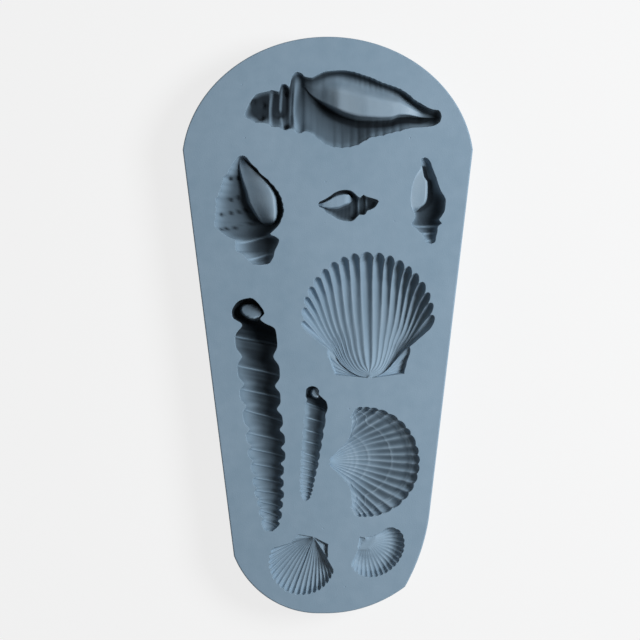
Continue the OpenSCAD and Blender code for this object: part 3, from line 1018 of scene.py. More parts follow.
    def row_places(self, lines: tuple[float, ...], c: Array) -> Array:
        """Returns where along the length the rows meet one edge."""
        places = (0.0, *lines, 1.0)
        return curve(tuple(enumerate(places)), 1, c)

    def waist(self, waists: tuple[float, ...], s: Array) -> Array:
        """Gives how far one edge stands in at its waists.

        Args:
            waists: The places of the edge's waists.
            s: Where to read it.

        Returns:
            The distance at each place, as a share of the width.
        """
        places = (0.0, *waists, 1.0)
        phase = curve(tuple((place, float(k)) for k, place in enumerate(places)), 1, s)
        near = np.abs(np.cos(math.pi * phase)) ** 2
        held = (phase > 0.5) & (phase < len(places) - 1.5)
        return mix(self.waist_depths[0], self.waist_depths[1], s) * near ** (1 / self.waist_sharpness) * held

    def line_detail(self, c: Array, s: Array) -> tuple[Array, Array]:
        """Gives the raised lines with the grooves and fine lines beside them.

        Args:
            c: Each row's place counted in whorls.
            s: The places along the length.

        Returns:
            What they add to the depth, and how much of a line is at each point.
        """
        whorls = len(self.lines_left) + 1
        pitch = np.gradient(s, axis=0) / np.maximum(np.gradient(c, axis=0), LEAST_STEP) * self.length
        off = (c - np.round(c)) * pitch
        held = (c > 0.5) & (c < whorls - 0.5)
        mark = hump(off, self.cord_width) * held
        detail = -self.cord_height * mark
        fine_width = self.stria_share * self.cord_width
        detail = detail + self.groove_share * self.cord_height * hump(off - self.cord_gap, fine_width)
        for place, height in self.striae:
            detail = detail - height * hump(off - place, fine_width)
            mark = mark + self.stria_paleness * hump(off - place, fine_width) * held
        return detail * held, np.clip(mark, 0, 1)

    def core_profile(self, s: Array, v: Array) -> tuple[Array, Array, Array]:
        """Gives the small core in the mouth, which is a tilted oval.

        Args:
            s: The places along the length.
            v: The places across the width.

        Returns:
            Where the core is, how much of the depth it fills and how high it is tilted, each from 0 to 1.
        """
        middle_s, middle_v, half_s, half_v = self.mouth
        along, across = (s - middle_s) * self.length, (v - middle_v) * self.width
        turned = along * math.cos(self.mouth_turn) - across * math.sin(self.mouth_turn)
        sidewards = along * math.sin(self.mouth_turn) + across * math.cos(self.mouth_turn)
        half_along, half_across = half_s * self.length, half_v * self.width
        oval = np.hypot(turned / half_along, sidewards / half_across)
        core = 1 - ramp(oval, self.mouth_rim)
        slope = self.mouth_tilt
        tilt = np.clip(0.5 + slope * turned / half_along + slope * sidewards / half_across, 0, 1)
        return core, core * mix(self.mouth_fill[0], self.mouth_fill[1], tilt), tilt


@dataclass(frozen=True)
class Lines:
    """Lines that run out from a beak, one in each row.

    They hold the angle in degrees, the place across the fan from -1 to 1, the place in a groove from 0 on a
    ridge to 1, and the place on an ear from 0 to 1, or -1 off the ears.
    """

    angle: Array
    across: Array
    wave: Array
    ear: Array

    @property
    def on_ear(self) -> Array:
        """Which lines run on an ear."""
        return self.ear >= 0


@dataclass(frozen=True)
class RibbedShell(Cavity):
    """Cavity of a scallop or cockle: grooves run out from its beak, with a narrow ridge between each two.

    Angles are in degrees from the axis. Ear rows hold the share of the way to the ear's end and the share of
    the rim's radius, and beak rows the angle and the share of the radius at which the grooves start. A fade
    is how fast something sets in along the lines.
    """

    radius: float = 1.0
    half_width: float = 1.0
    reach: float = 1.0
    fan: Pair = (-60.0, 60.0)
    ridges: tuple[float, ...] = ()
    grooves: int = 18
    spine: float = 0.0
    flare: Pair = (0.0, 0.0)
    flare_fade: float = 9.0
    opening: Table = ((0.0, 1.0, 1.0), (1.0, 1.0, 1.0))
    wall_angle: float = 1.0
    ears: Pair | None = None
    ear_rows: Table = ()
    fixed_ears: bool = False
    ear_depth: float = 1.2
    ear_slope: Pair = (1.0, 1.0)
    ear_fade: float = 2.5
    ear_waves: int = 5
    ear_wave_height: float = 0.12
    beak: Table = ((0.0, 0.03), (180.0, 0.03))
    beak_slope: float = 0.5
    beak_lift: float = 1.6
    beak_share: float = 0.2
    beak_groove: float = 0.6
    smooth_beak: float = 0.6
    trim: Table = ((-180.0, 1.0), (180.0, 1.0))
    lobe: Pair = (0.045, 0.075)
    lobe_sharpness: float = 0.7
    scoop: float = 0.07
    dome: Table = (
        (0.0, 0.14), (0.06, 0.34), (0.18, 0.7), (0.36, 0.96),
        (0.5, 1.0), (0.7, 0.93), (0.88, 0.72), (1.0, 0.5),
    )
    side_floor: float = 0.35
    side_power: float = 3.5
    side_slope: float = 0.5
    slope_reach: float = 0.9
    rib_share: float = 0.25
    rib_rise: Pair = (0.85, 0.45)
    sharpness: float = 1.4
    folds: tuple[tuple[int, float], ...] = ()
    fold_fade: float = 4.0
    plate: Table = ()
    plate_depth: float = 0.8
    plate_edge: float = 0.8
    rings: tuple[Pair, ...] = ()
    ring_width: float = 0.011
    ring_height: float = 0.2
    ring_tilt: float = 0.0
    # Painted shade along the way from the beak to the rim, and its share on the ridges against the grooves
    ring_painted_shade: Table = ((0.0, 1.0), (1.0, 1.0))
    ridge_painted_shade: float = 0.3
    # Painted highlight on the crests and the raised growth rings
    crest_painted_highlight: float = 0.4
    crest_fade: float = 3.0
    growth_pitch: float = 0.55
    growth_height: float = 0.012
    groove_lines: int = 10
    ear_lines: int = 12
    ring_lines: int = 60
    ring_crowding: float = 0.35

    def relief(self) -> Relief:
        """Makes the fan of grooves with its ears, and paints its shade and the highlight on its crests.

        Returns:
            The surface, whose rows are the lines that run out from the beak.
        """
        lines = self.lines()
        ring = np.linspace(0, 1, self.ring_lines + 1)
        ring = mix(ring, np.sin(math.pi / 2 * ring), self.ring_crowding)
        r = mix(self.radius * curve(self.beak, 1, np.abs(lines.angle)), self.rim(lines), ring)
        turn = self.turns(lines, ring, r)
        groove = mix(self.beak_groove, lines.wave**self.sharpness, ease(r / self.smooth_beak))
        base = self.floor(lines, ring, r)
        pitch = np.gradient(turn, axis=0) * self.groove_lines * r
        rise_from, rise = self.rib_rise
        height = np.minimum(self.rib_share * pitch, rise * base)
        height = mix(height, rise * base, ease((ring - rise_from) / (1 - rise_from)))
        wave = np.sin(2 * math.pi * self.ear_waves * lines.ear)
        drop = base - height * (1 - groove) * ~lines.on_ear
        drop = drop + self.lines_of_growth(r, ring, lines.across) * ~lines.on_ear
        drop = drop + self.ear_wave_height * wave * lines.on_ear * ease(ring * self.crest_fade)
        drop = drop + self.fold_depth(lines.angle, ring, groove) * ~lines.on_ear
        ending = np.sqrt(1 - np.clip((ring - 1 + self.scoop) / self.scoop, 0, 1) ** 2)
        drop = self.plated(drop * ending, r * np.cos(turn), r * np.sin(turn))
        drop = drop * mix(self.beak_share, 1, ease(r / self.beak_lift))
        # Painted highlight on the crests and on the raised growth rings, and painted shade that grows with
        # depth, is lighter on the ridges than in the grooves and follows the way to the rim.
        crest = (1 - groove) ** 2 * ease(ring * self.crest_fade) * ~lines.on_ear
        crest = self.crest_painted_highlight * (crest + self.ring_marks(ring, lines.across))
        stain = self.painted_shade_at(drop) * mix(self.ridge_painted_shade, 1, groove) * curve(self.ring_painted_shade, 1, ring)
        return Relief(r * np.cos(turn), r * np.sin(turn), drop, np.clip(crest, 0, 1), stain)

    def floor(self, lines: Lines, ring: Array, r: Array) -> Array:
        """Gives the depth of the domed fan and its ears, with no ridges.

        Args:
            lines: The lines from the beak.
            ring: The share of the way from the beak to the rim.
            r: The distance from the beak.

        Returns:
            The depth at each point.
        """
        slope = mix(self.beak_slope, self.side_slope, ease(r / (self.slope_reach * self.radius)))
        level = np.maximum(1 - np.abs(lines.across) ** self.side_power, 0) ** slope
        base = self.depth * mix(self.side_floor, 1, level) * curve(self.dome, 1, ring)
        ear_floor = self.ear_depth * mix(1, np.where(lines.angle < 0, *self.ear_slope), ring)
        return np.where(lines.on_ear, mix(base, ear_floor, ease(self.ear_fade * lines.ear)), base)

    def edges(self) -> Array:
        """Gives the angles of the ridges.

        Returns:
            The angles, with both sides of the fan as the first and the last.
        """
        low, high = self.fan[0] + self.wall_angle, self.fan[1] - self.wall_angle
        if self.ridges:
            return np.array([low, *self.ridges, high])
        return np.linspace(low, high, self.grooves + 1)

    def lines(self) -> Lines:
        """Lays out the lines across the fan and its ears.

        Returns:
            The lines, each value in one column.
        """
        edges = self.edges()
        n = len(edges) - 1
        t = np.linspace(0, n, n * self.groove_lines + 1)
        angle = np.interp(t, np.arange(n + 1), edges)
        wave = np.abs(np.sin(math.pi * t))
        middle, half = (self.fan[0] + self.fan[1]) / 2, (self.fan[1] - self.fan[0]) / 2
        body = np.stack([angle, (angle - middle) / half, wave, np.full_like(t, -1)])
        blocks = [self.side_lines(Side.RIGHT), body, self.side_lines(Side.LEFT)]
        return Lines(*(row[:, None] for row in np.concatenate(blocks, axis=1)))

    def side_lines(self, side: Side) -> Array:
        """Lays out the lines past one side of the fan: those of its ear, or the side itself.

        Args:
            side: The side of the fan.

        Returns:
            The lines' four values in four rows.
        """
        fan_angle = self.fan[0] if side is Side.RIGHT else self.fan[1]
        if not self.ears:
            return np.array([[fan_angle], [side.value], [0.0], [-1.0]])
        ear_angle = self.ears[0] if side is Side.RIGHT else self.ears[1]
        t = np.linspace(0, 1, self.ear_lines + 1)
        t = t[::-1] if side is Side.RIGHT else t
        angle = mix(fan_angle, ear_angle, t)
        return np.stack([angle, np.full_like(t, side.value), np.zeros_like(t), t])

    def turns(self, lines: Lines, ring: Array, r: Array) -> Array:
        """Gives the direction in which each point lies from the beak.

        Args:
            lines: The lines from the beak.
            ring: The share of the way from the beak to the rim.
            r: The distance from the beak.

        Returns:
            The directions, in radians.
        """
        fanned = np.where(lines.on_ear, lines.angle, self.spread(lines.angle, ring))
        turn = self.widened(fanned, r)
        if self.fixed_ears:
            side_angle = self.widened(np.where(lines.angle < 0, *self.fan), r)
            ear_angle = np.where(lines.angle < 0, *self.ears)
            turn = np.where(lines.on_ear, mix(side_angle, ear_angle, lines.ear), turn)
        return np.radians(turn)

    def spread(self, angle: Array, ring: Array) -> Array:
        """Spreads the lines away from the spine near the beak.

        Args:
            angle: The angle of each line at the rim.
            ring: The share of the way from the beak to the rim.

        Returns:
            The angle of each line at each ring.
        """
        low, high = self.fan
        upward = angle > self.spine
        span = np.where(upward, high - self.spine, self.spine - low)
        flare = np.where(upward, self.flare[1], self.flare[0])
        share = np.clip(np.abs(angle - self.spine) / span, 0, 1)
        moved = 1 - (1 - share) ** (1 + flare * (1 - ring) ** 2 * ease(ring * self.flare_fade))
        return self.spine + np.sign(angle - self.spine) * span * moved

    def widened(self, turn: Array, r: Array) -> Array:
        """Returns the angles as the sides of the fan open or close with the distance from the beak."""
        share = r / self.radius
        return turn * np.where(turn < 0, curve(self.opening, 1, share), curve(self.opening, 2, share))

    def plated(self, drop: Array, along: Array, across: Array) -> Array:
        """Lays the flat facet between the beak and its ear over the surface, where there is one.

        Args:
            drop: The depth without it.
            along: The places along the axis.
            across: The places across the axis.

        Returns:
            The depth with it.
        """
        if not self.plate:
            return drop
        corners = np.array(self.plate) * self.radius
        clear = np.full_like(drop, self.radius)
        for start, end in zip(corners, np.roll(corners, -1, axis=0)):
            way = (end - start) / np.linalg.norm(end - start)
            clear = np.minimum(clear, (across - start[1]) * way[0] - (along - start[0]) * way[1])
        return mix(drop, self.plate_depth, ease(0.5 + clear / self.plate_edge))

    def rim(self, lines: Lines) -> Array:
        """Gives where each line ends, with the rim's lobes and the ears.

        Args:
            lines: The lines from the beak.

        Returns:
            The distance from the beak.
        """
        angle = lines.angle
        lobe = mix(self.lobe[0], self.lobe[1], lines.across**2)
        lobed = 1 - lobe * (1 - lines.wave**self.lobe_sharpness)
        rim = self.oval(angle) * curve(self.trim, 1, angle) * lobed
        if not self.ears:
            return rim
        held = np.maximum(lines.ear, 0)
        reach = np.where(angle < 0, curve(self.ear_rows, 1, held), curve(self.ear_rows, 2, held))
        return np.where(lines.on_ear, self.radius * reach, rim)

    def oval(self, angle: Array) -> Array:
        """Gives the oval that the rim follows.

        Args:
            angle: The angle of each line.

        Returns:
            The distance from the beak.
        """
        cosine, sine = np.cos(np.radians(angle)), np.sin(np.radians(angle))
        a = (cosine / self.radius) ** 2 + (sine / self.half_width) ** 2
        b = self.reach * cosine / self.radius**2
        c = (self.reach / self.radius) ** 2 - 1
        return (b + np.sqrt(np.maximum(b * b - a * c, 0))) / a

    def lines_of_growth(self, r: Array, ring: Array, across: Array) -> Array:
        """Returns the depth of the fine growth lines and of the few strong rings that stand up."""
        fine = self.growth_height * np.cos(2 * math.pi * r / self.growth_pitch)
        return fine - self.ring_height * self.ring_marks(ring, across)

    def ring_marks(self, ring: Array, across: Array) -> Array:
        """Gives where the strong growth rings are.

        Args:
            ring: The share of the way from the beak to the rim.
            across: The place across the fan.

        Returns:
            How much of a ring is at each point, each ring with its own strength.
        """
        marks = np.zeros_like(ring * across)
        tilt = 1 + self.ring_tilt * np.minimum(across, 0)
        for place, strength in self.rings:
            marks = marks + strength * hump(ring - place * tilt, self.ring_width)
        return marks

    def fold_depth(self, angle: Array, ring: Array, groove: Array) -> Array:
        """Gives the added depth of the few grooves that are deeper than the rest.

        Args:
            angle: The angle of each line at the rim.
            ring: The share of the way from the beak to the rim.
            groove: The place in a groove, from 0 on a ridge to 1.

        Returns:
            The added depth at each point.
        """
        edges, depth = self.edges(), np.zeros_like(angle * ring)
        rising, falling = ease(ring * self.fold_fade), ease((1 - ring) * self.fold_fade)
        for index, added in self.folds:
            within = (angle > edges[index]) & (angle < edges[index + 1])
            depth = depth + added * groove * within * rising * falling
        return depth


@dataclass(frozen=True)
class Pit(Hollow):
    """Small round pit where an air bubble met the face."""

    radius: float = 0.3
    segments: int = 12
    ring_lines: int = 3

    def carve(self, draft: Draft, slab: Slab) -> tuple[Array, Array]:
        """Adds the pit, ring by ring.

        Args:
            draft: The mesh to add to.
            slab: The slab that it lies in.

        Returns:
            The loop where it meets the face, as indexes and as points of two columns.
        """
        turns = np.linspace(0, 2 * math.pi, self.segments, endpoint=False)
        rings = []
        for k in range(self.ring_lines):
            share = 1 - k / self.ring_lines
            r = np.full(self.segments, self.radius * share)
            drop = np.full(self.segments, self.depth * (1 - share * share))
            rings.append(self.set_down(slab, r * np.cos(turns), r * np.sin(turns), drop))
        indexes = [draft.add_points(points) for points in rings]
        for first, second in zip(indexes[:-1], indexes[1:]):
            draft.add_band(first, second)
        middle = self.set_down(slab, np.zeros(1), np.zeros(1), np.full(1, self.depth))
        tip = int(draft.add_points(middle)[0])
        draft.add_fan(tip, np.append(indexes[-1], indexes[-1][0]))
        return indexes[0], rings[0][:, :2]


class Wiring:
    """Nodes of one material or world, each added with its inputs joined or set."""

    def __init__(self, owner: bpy.types.Material | bpy.types.World) -> None:
        """Turns the nodes on.

        Args:
            owner: The material or world that they belong to.
        """
        owner.use_nodes = True
        self.nodes = owner.node_tree.nodes
        self.links = owner.node_tree.links

    def feed(self, node: bpy.types.Node, inputs: dict[str | int, Feed]) -> None:
        """Joins or sets inputs of a node.

        Args:
            node: The node.
            inputs: What goes into each socket, by the socket's name or number: an output, or a value.
        """
        for key, value in inputs.items():
            if isinstance(value, bpy.types.NodeSocket):
                self.links.new(value, node.inputs[key])
            else:
                node.inputs[key].default_value = value

    def add(self, kind: str, inputs: dict[str | int, Feed] | None = None) -> bpy.types.Node:
        """Adds a shader node.

        Args:
            kind: Its kind, as Blender names it.
            inputs: What goes into its sockets, as for feed.

        Returns:
            The new node.
        """
        node = self.nodes.new(f"ShaderNode{kind}")
        self.feed(node, inputs or {})
        return node

    def attribute(self, layer: Layer) -> bpy.types.NodeSocket:
        """Reads a value that is painted on the mesh.

        Args:
            layer: The painted value.

        Returns:
            The value's output.
        """
        node = self.add("Attribute")
        node.attribute_name = layer.value
        return node.outputs["Fac"]

    def noise(self, place: bpy.types.NodeSocket, scale: float, detail: float) -> bpy.types.NodeSocket:
        """Adds a noise texture and returns its value."""
        node = self.add("TexNoise", {"Vector": place, "Scale": scale, "Detail": detail})
        return node.outputs["Fac"]

    def calculate(self, way: Sum, first: Feed, second: Feed) -> bpy.types.NodeSocket:
        """Adds a sum of two values.

        Args:
            way: How they are joined.
            first: The first value.
            second: The second value.

        Returns:
            The result's output.
        """
        node = self.add("Math", {0: first, 1: second})
        node.operation = way.value
        return node.outputs["Value"]

    def mapped(self, value: bpy.types.NodeSocket, span: Pair, result: Pair) -> bpy.types.NodeSocket:
        """Adds a map of one range of values to another.

        Args:
            value: The value to map.
            span: Its lowest and highest value.
            result: What these become.

        Returns:
            The result's output.
        """
        ranges = {"From Min": span[0], "From Max": span[1], "To Min": result[0], "To Max": result[1]}
        return self.add("MapRange", {"Value": value, **ranges}).outputs["Result"]

    def mixed(self, share: Feed, first: Feed, second: Feed) -> bpy.types.NodeSocket:
        """Adds a mix of two values and returns its result."""
        return self.add("Mix", {"Factor": share, "A": first, "B": second}).outputs["Result"]

    def mixed_colour(self, share: bpy.types.NodeSocket, first: Feed, second: Feed) -> bpy.types.NodeSocket:
        """Adds a mix of two colours.

        Args:
            share: The share of the second colour.
            first: The first colour.
            second: The second colour.

        Returns:
            The result's output. The node keeps its colours in other sockets than its values.
        """
        node = self.add("Mix")
        node.data_type = "RGBA"
        self.feed(node, {"Factor": share, 6: first, 7: second})
        return node.outputs[2]

    def bump(self, height: bpy.types.NodeSocket, distance: float,
             under: bpy.types.NodeSocket | None = None) -> bpy.types.NodeSocket:
        """Adds a bump.

        Args:
            height: The height of the surface, from 0 to 1.
            distance: The height in metres that 1 stands for.
            under: The normal of a bump that this one lies on.

        Returns:
            The normal's output.
        """
        inputs = {"Height": height, "Distance": distance}
        if under is not None:
            inputs["Normal"] = under
        return self.add("Bump", inputs).outputs["Normal"]

    def shown_to(self, seen: bpy.types.NodeSocket, real: bpy.types.Node, shown: bpy.types.Node,
                 end: bpy.types.Node) -> None:
        """Shows a plain colour to some rays and the real surface to the rest.

        Args:
            seen: The share of the plain colour.
            real: The node of the real surface or light.
            shown: The node of the plain colour.
            end: The output node of the material or world.
        """
        blend = self.add("MixShader", {"Fac": seen, 1: real.outputs[0], 2: shown.outputs[0]})
        self.feed(end, {"Surface": blend.outputs["Shader"]})


@dataclass(frozen=True)
class SiliconeFinish:
    """Matt blue-grey silicone, mottled and finely grained, and smoother and paler on the cores. Painted shade
    darkens it in the hollows, and a painted highlight pales the crests of the ribbed shells.

    A noise has its scale and its detail, and the distances of the bumps are in metres.
    """

    name: str = "blue_grey_silicone"
    dark: Colour = (0.2, 0.292, 0.376, 1.0)
    light: Colour = (0.24, 0.335, 0.423, 1.0)
    pale_core_and_highlight: Colour = (0.278, 0.368, 0.448, 1.0)
    painted_shade_colour: Colour = (0.013, 0.02, 0.027, 1.0)
    specular: float = 0.2
    roughness: Pair = (0.5, 0.66)
    deep_roughness: float = 0.95
    core_roughness: float = 0.42
    mottle: Pair = (45.0, 3.0)
    blotch: Pair = (260.0, 2.0)
    patch: Pair = (130.0, 2.0)
    ripple: Pair = (150.0, 1.0)
    grain: Pair = (2600.0, 2.0)
    blotch_share: float = 0.4
    tone_span: Pair = (0.3, 0.7)
    patch_span: Pair = (0.38, 0.62)
    patch_levels: Pair = (0.5, 1.0)
    ripple_distance: float = 0.00012
    grain_distance: float = 0.00004

    def make(self) -> bpy.types.Material:
        """Makes the material, of nodes alone.

        Returns:
            The new material.
        """
        material = bpy.data.materials.new(self.name)
        wiring = Wiring(material)
        place = wiring.add("TexCoord").outputs["Object"]
        blotch = wiring.noise(place, *self.blotch)
        core, stain = wiring.attribute(Layer.PALE_CORE_AND_HIGHLIGHT), wiring.attribute(Layer.PAINTED_SHADE)
        tone = wiring.mixed(self.blotch_share, wiring.noise(place, *self.mottle), blotch)
        colour = wiring.mixed_colour(wiring.mapped(tone, self.tone_span, (0.0, 1.0)), self.dark, self.light)
        # Painted shade: darkens the colour as far as the mesh's painted shade value says
        colour = wiring.mixed_colour(stain, colour, self.painted_shade_colour)
        patches = wiring.mapped(wiring.noise(place, *self.patch), self.patch_span, self.patch_levels)
        # Pale core finish, and the painted highlight on crests and rings
        colour = wiring.mixed_colour(wiring.calculate(Sum.PRODUCT, core, patches), colour, self.pale_core_and_highlight)
        rough = wiring.mapped(blotch, (0.0, 1.0), self.roughness)
        rough = wiring.mixed(core, wiring.mixed(stain, rough, self.deep_roughness), self.core_roughness)
        coarse = wiring.bump(wiring.noise(place, *self.ripple), self.ripple_distance)
        fine = wiring.bump(wiring.noise(place, *self.grain), self.grain_distance, coarse)
        wiring.feed(wiring.nodes["Principled BSDF"], {
            "Base Color": colour,
            "Roughness": rough,
            "Specular IOR Level": self.specular,
            "Normal": fine,
        })
        return material


@dataclass(frozen=True)
class FloorFinish:
    """Pale floor that shows nearly white to the camera and keeps a soft shadow."""

    name: str = "pale_floor"
    tone: Colour = (0.9, 0.9, 0.9, 1.0)
    shown: Colour = (0.915, 0.915, 0.915, 1.0)
    roughness: float = 0.9
    specular: float = 0.1
    shadow_share: float = 0.12

    def make(self) -> bpy.types.Material:
        """Makes the material, of nodes alone.

        Returns:
            The new material.
        """
        material = bpy.data.materials.new(self.name)
        wiring = Wiring(material)
        surface = wiring.nodes["Principled BSDF"]
        wiring.feed(surface, {
            "Base Color": self.tone,
            "Roughness": self.roughness,
            "Specular IOR Level": self.specular,
        })
        glow = wiring.add("Emission", {"Color": self.shown})
        camera_ray = wiring.add("LightPath").outputs["Is Camera Ray"]
        seen = wiring.calculate(Sum.PRODUCT, camera_ray, 1 - self.shadow_share)
        wiring.shown_to(seen, surface, glow, wiring.nodes["Material Output"])
        return material


@dataclass(frozen=True)
class Studio:
    """Floor, lamps and camera. Sizes here are in metres, powers in watts and angles in degrees."""

    floor_size: float = 4.0
    key_distance: float = 0.68
    key_azimuth: float = 10.0
    key_elevation: float = 48.0
    key_size: float = 0.3
    key_power: float = 5.1
    key_tint: tuple[float, float, float] = (0.97, 1.0, 1.03)
    world_tint: Colour = (1.0, 0.84, 0.72, 1.0)
    world_shown: Colour = (0.896, 0.896, 0.896, 1.0)
    world_strength: float = 0.1
    lens: float = 110.0
    view_width: float = 0.19968
    view_middle: Pair = (-0.00243, 0.00156)
    face_height: float = 0.015

    def build(self) -> None:
        """Sets the world, the floor, the lamps and the camera."""
        self.set_world()
        self.add_floor()
        self.add_key()
        self.add_camera()
        bpy.context.scene.view_settings.view_transform = "Standard"

    def set_world(self) -> None:
        """Gives the world a weak even light, and shows it nearly white to the camera."""
        world = bpy.data.worlds.new("studio_air")
        wiring = Wiring(world)
        light = wiring.nodes["Background"]
        wiring.feed(light, {"Color": self.world_tint, "Strength": self.world_strength})
        shown = wiring.add("Background", {"Color": self.world_shown})
        rays = wiring.add("LightPath").outputs
        seen = rays["Is Camera Ray"]
        for ray in ("Is Glossy Ray", "Is Transmission Ray"):
            seen = wiring.calculate(Sum.LARGER, seen, rays[ray])
        wiring.shown_to(seen, light, shown, wiring.nodes["World Output"])
        bpy.context.scene.world = world

    def add_floor(self) -> None:
        """Adds the floor under the mould."""
        half = self.floor_size / 2
        mesh = bpy.data.meshes.new("floor")
        corners = [(-half, -half, 0), (half, -half, 0), (half, half, 0), (-half, half, 0)]
        mesh.from_pydata(corners, [], [(0, 1, 2, 3)])
        mesh.materials.append(FloorFinish().make())
        floor = bpy.data.objects.new("floor", mesh)
        bpy.context.scene.collection.objects.link(floor)

    def add_key(self) -> None:
        """Adds the soft key lamp, low on the right and a little above the mould's broad end."""
        lamp = bpy.data.lights.new("key", "AREA")
        lamp.shape = "DISK"
        lamp.size = self.key_size
        lamp.energy = self.key_power
        lamp.color = self.key_tint
        turn, rise = math.radians(self.key_azimuth), math.radians(self.key_elevation)
        way = Vector((math.cos(rise) * math.cos(turn), math.cos(rise) * math.sin(turn), math.sin(rise)))
        key = bpy.data.objects.new("key", lamp)
        key.location = way * self.key_distance
        key.rotation_euler = way.to_track_quat("Z", "Y").to_euler()
        bpy.context.scene.collection.objects.link(key)

    def add_camera(self) -> None:
        """Adds the camera, straight above the face."""
        data = bpy.data.cameras.new("camera")
        data.lens = self.lens
        distance = self.view_width * self.lens / data.sensor_width
        camera = bpy.data.objects.new("camera", data)
        camera.location = (*self.view_middle, self.face_height + distance)
        bpy.context.scene.collection.objects.link(camera)
        bpy.context.scene.camera = camera


WHELK_SECTIONS: Table = (
    (0.005, 0.032, 0.136, 0.2), (0.018, 0, 0.175, 0.3), (0.038, -0.006, 0.2, 0.36),
    (0.063, -0.026, 0.214, 0.4), (0.099, -0.078, 0.221, 0.45), (0.135, -0.13, 0.225, 0.5),
    (0.17, -0.208, 0.238, 0.55), (0.211, -0.273, 0.266, 0.6), (0.256, -0.317, 0.292, 0.66),
    (0.302, -0.357, 0.325, 0.72), (0.353, -0.416, 0.348, 0.8), (0.383, -0.442, 0.383, 0.84),
    (0.414, -0.468, 0.432, 0.89), (0.454, -0.5, 0.468, 0.95), (0.505, -0.517, 0.483, 1),
    (0.556, -0.51, 0.468, 1), (0.596, -0.496, 0.422, 0.96), (0.632, -0.455, 0.351, 0.9),
    (0.662, -0.421, 0.292, 0.82), (0.693, -0.435, 0.273, 0.76), (0.713, -0.481, 0.296, 0.8),
    (0.734, -0.494, 0.303, 0.76), (0.749, -0.474, 0.247, 0.66), (0.764, -0.403, 0.238, 0.66),
    (0.772, -0.299, 0.243, 0.56), (0.794, -0.338, 0.26, 0.62), (0.815, -0.33, 0.234, 0.58),
    (0.825, -0.24, 0.221, 0.5), (0.865, -0.26, 0.214, 0.5), (0.876, -0.247, 0.182, 0.43),
    (0.911, -0.227, 0.162, 0.42), (0.942, -0.201, 0.16, 0.36), (0.967, -0.117, 0.123, 0.28),
    (0.985, -0.032, 0.104, 0.2), (0.995, 0.026, 0.084, 0.12),
)
WHELK_CORE: Table = (
    (0, 0.07, 0.09, 0), (0.084, 0.02, 0.085, 0.2), (0.13, -0.06, 0.075, 0.55), (0.17, -0.15, 0.065, 0.75),
    (0.211, -0.235, 0.07, 0.84), (0.256, -0.29, 0.105, 0.88), (0.312, -0.345, 0.114, 0.88),
    (0.363, -0.4, 0.11, 0.87), (0.414, -0.445, 0.1, 0.82), (0.464, -0.48, 0.068, 0.76),
    (0.515, -0.495, 0.016, 0.7), (0.566, -0.48, -0.055, 0.5), (0.617, -0.435, -0.14, 0.24),
    (0.668, -0.4, -0.24, 0.1), (0.7, -0.39, -0.33, 0.03), (0.71, -0.35, -0.31, 0), (0.8, -0.08, -0.02, 0),
    (1, 0.05, 0.07, 0),
)
SPINY_SECTIONS: Table = (
    (0.009, -0.161, -0.073, 0.25), (0.023, -0.19, -0.044, 0.34), (0.05, -0.219, -0.015, 0.42),
    (0.087, -0.263, 0.036, 0.5), (0.123, -0.285, 0.102, 0.57), (0.164, -0.321, 0.146, 0.64),
    (0.201, -0.38, 0.219, 0.7), (0.242, -0.394, 0.285, 0.76), (0.297, -0.416, 0.365, 0.83),
    (0.361, -0.453, 0.431, 0.9), (0.406, -0.493, 0.46, 0.94), (0.47, -0.482, 0.482, 0.98),
    (0.507, -0.489, 0.489, 1), (0.562, -0.496, 0.467, 1), (0.598, -0.499, 0.445, 0.99),
    (0.635, -0.511, 0.416, 0.96), (0.68, -0.453, 0.35, 0.88), (0.721, -0.372, 0.292, 0.76),
    (0.74, -0.328, 0.365, 0.68), (0.76, -0.248, 0.409, 0.66), (0.772, -0.207, 0.423, 0.66),
    (0.817, -0.212, 0.401, 0.62), (0.863, -0.204, 0.365, 0.56), (0.895, -0.124, 0.35, 0.46),
    (0.927, -0.066, 0.339, 0.44), (0.954, -0.029, 0.314, 0.4), (0.977, 0.007, 0.292, 0.3),
    (0.991, 0.051, 0.255, 0.2),
)
SPINY_CORE: Table = (
    (0, -0.13, -0.11, 0), (0.05, -0.17, -0.06, 0.25), (0.1, -0.175, 0.02, 0.5), (0.178, -0.165, 0.16, 0.62),
    (0.26, -0.135, 0.29, 0.72), (0.324, -0.105, 0.36, 0.8), (0.406, -0.075, 0.405, 0.86),
    (0.498, 0.01, 0.41, 0.88), (0.56, 0.08, 0.4, 0.84), (0.6, 0.14, 0.37, 0.6),
    (0.626, 0.2, 0.32, 0), (0.72, 0.1, 0.15, 0), (1, 0.12, 0.15, 0),
)
TINY_SECTIONS: Table = (
    (0.008, -0.054, 0.032, 0.3), (0.036, -0.111, 0.073, 0.42), (0.086, -0.159, 0.117, 0.5),
    (0.135, -0.27, 0.168, 0.58), (0.2, -0.333, 0.248, 0.66), (0.266, -0.413, 0.34, 0.76),
    (0.332, -0.486, 0.403, 0.86), (0.398, -0.524, 0.435, 0.94), (0.464, -0.54, 0.444, 1),
    (0.53, -0.556, 0.425, 1), (0.595, -0.508, 0.349, 0.96), (0.645, -0.413, 0.254, 0.88),
    (0.683, -0.343, 0.203, 0.78), (0.719, -0.349, 0.244, 0.78), (0.752, -0.349, 0.286, 0.76),
    (0.785, -0.317, 0.244, 0.7), (0.809, -0.222, 0.225, 0.62), (0.875, -0.175, 0.19, 0.52),
    (0.941, -0.095, 0.152, 0.4), (0.982, 0.016, 0.12, 0.22),
)
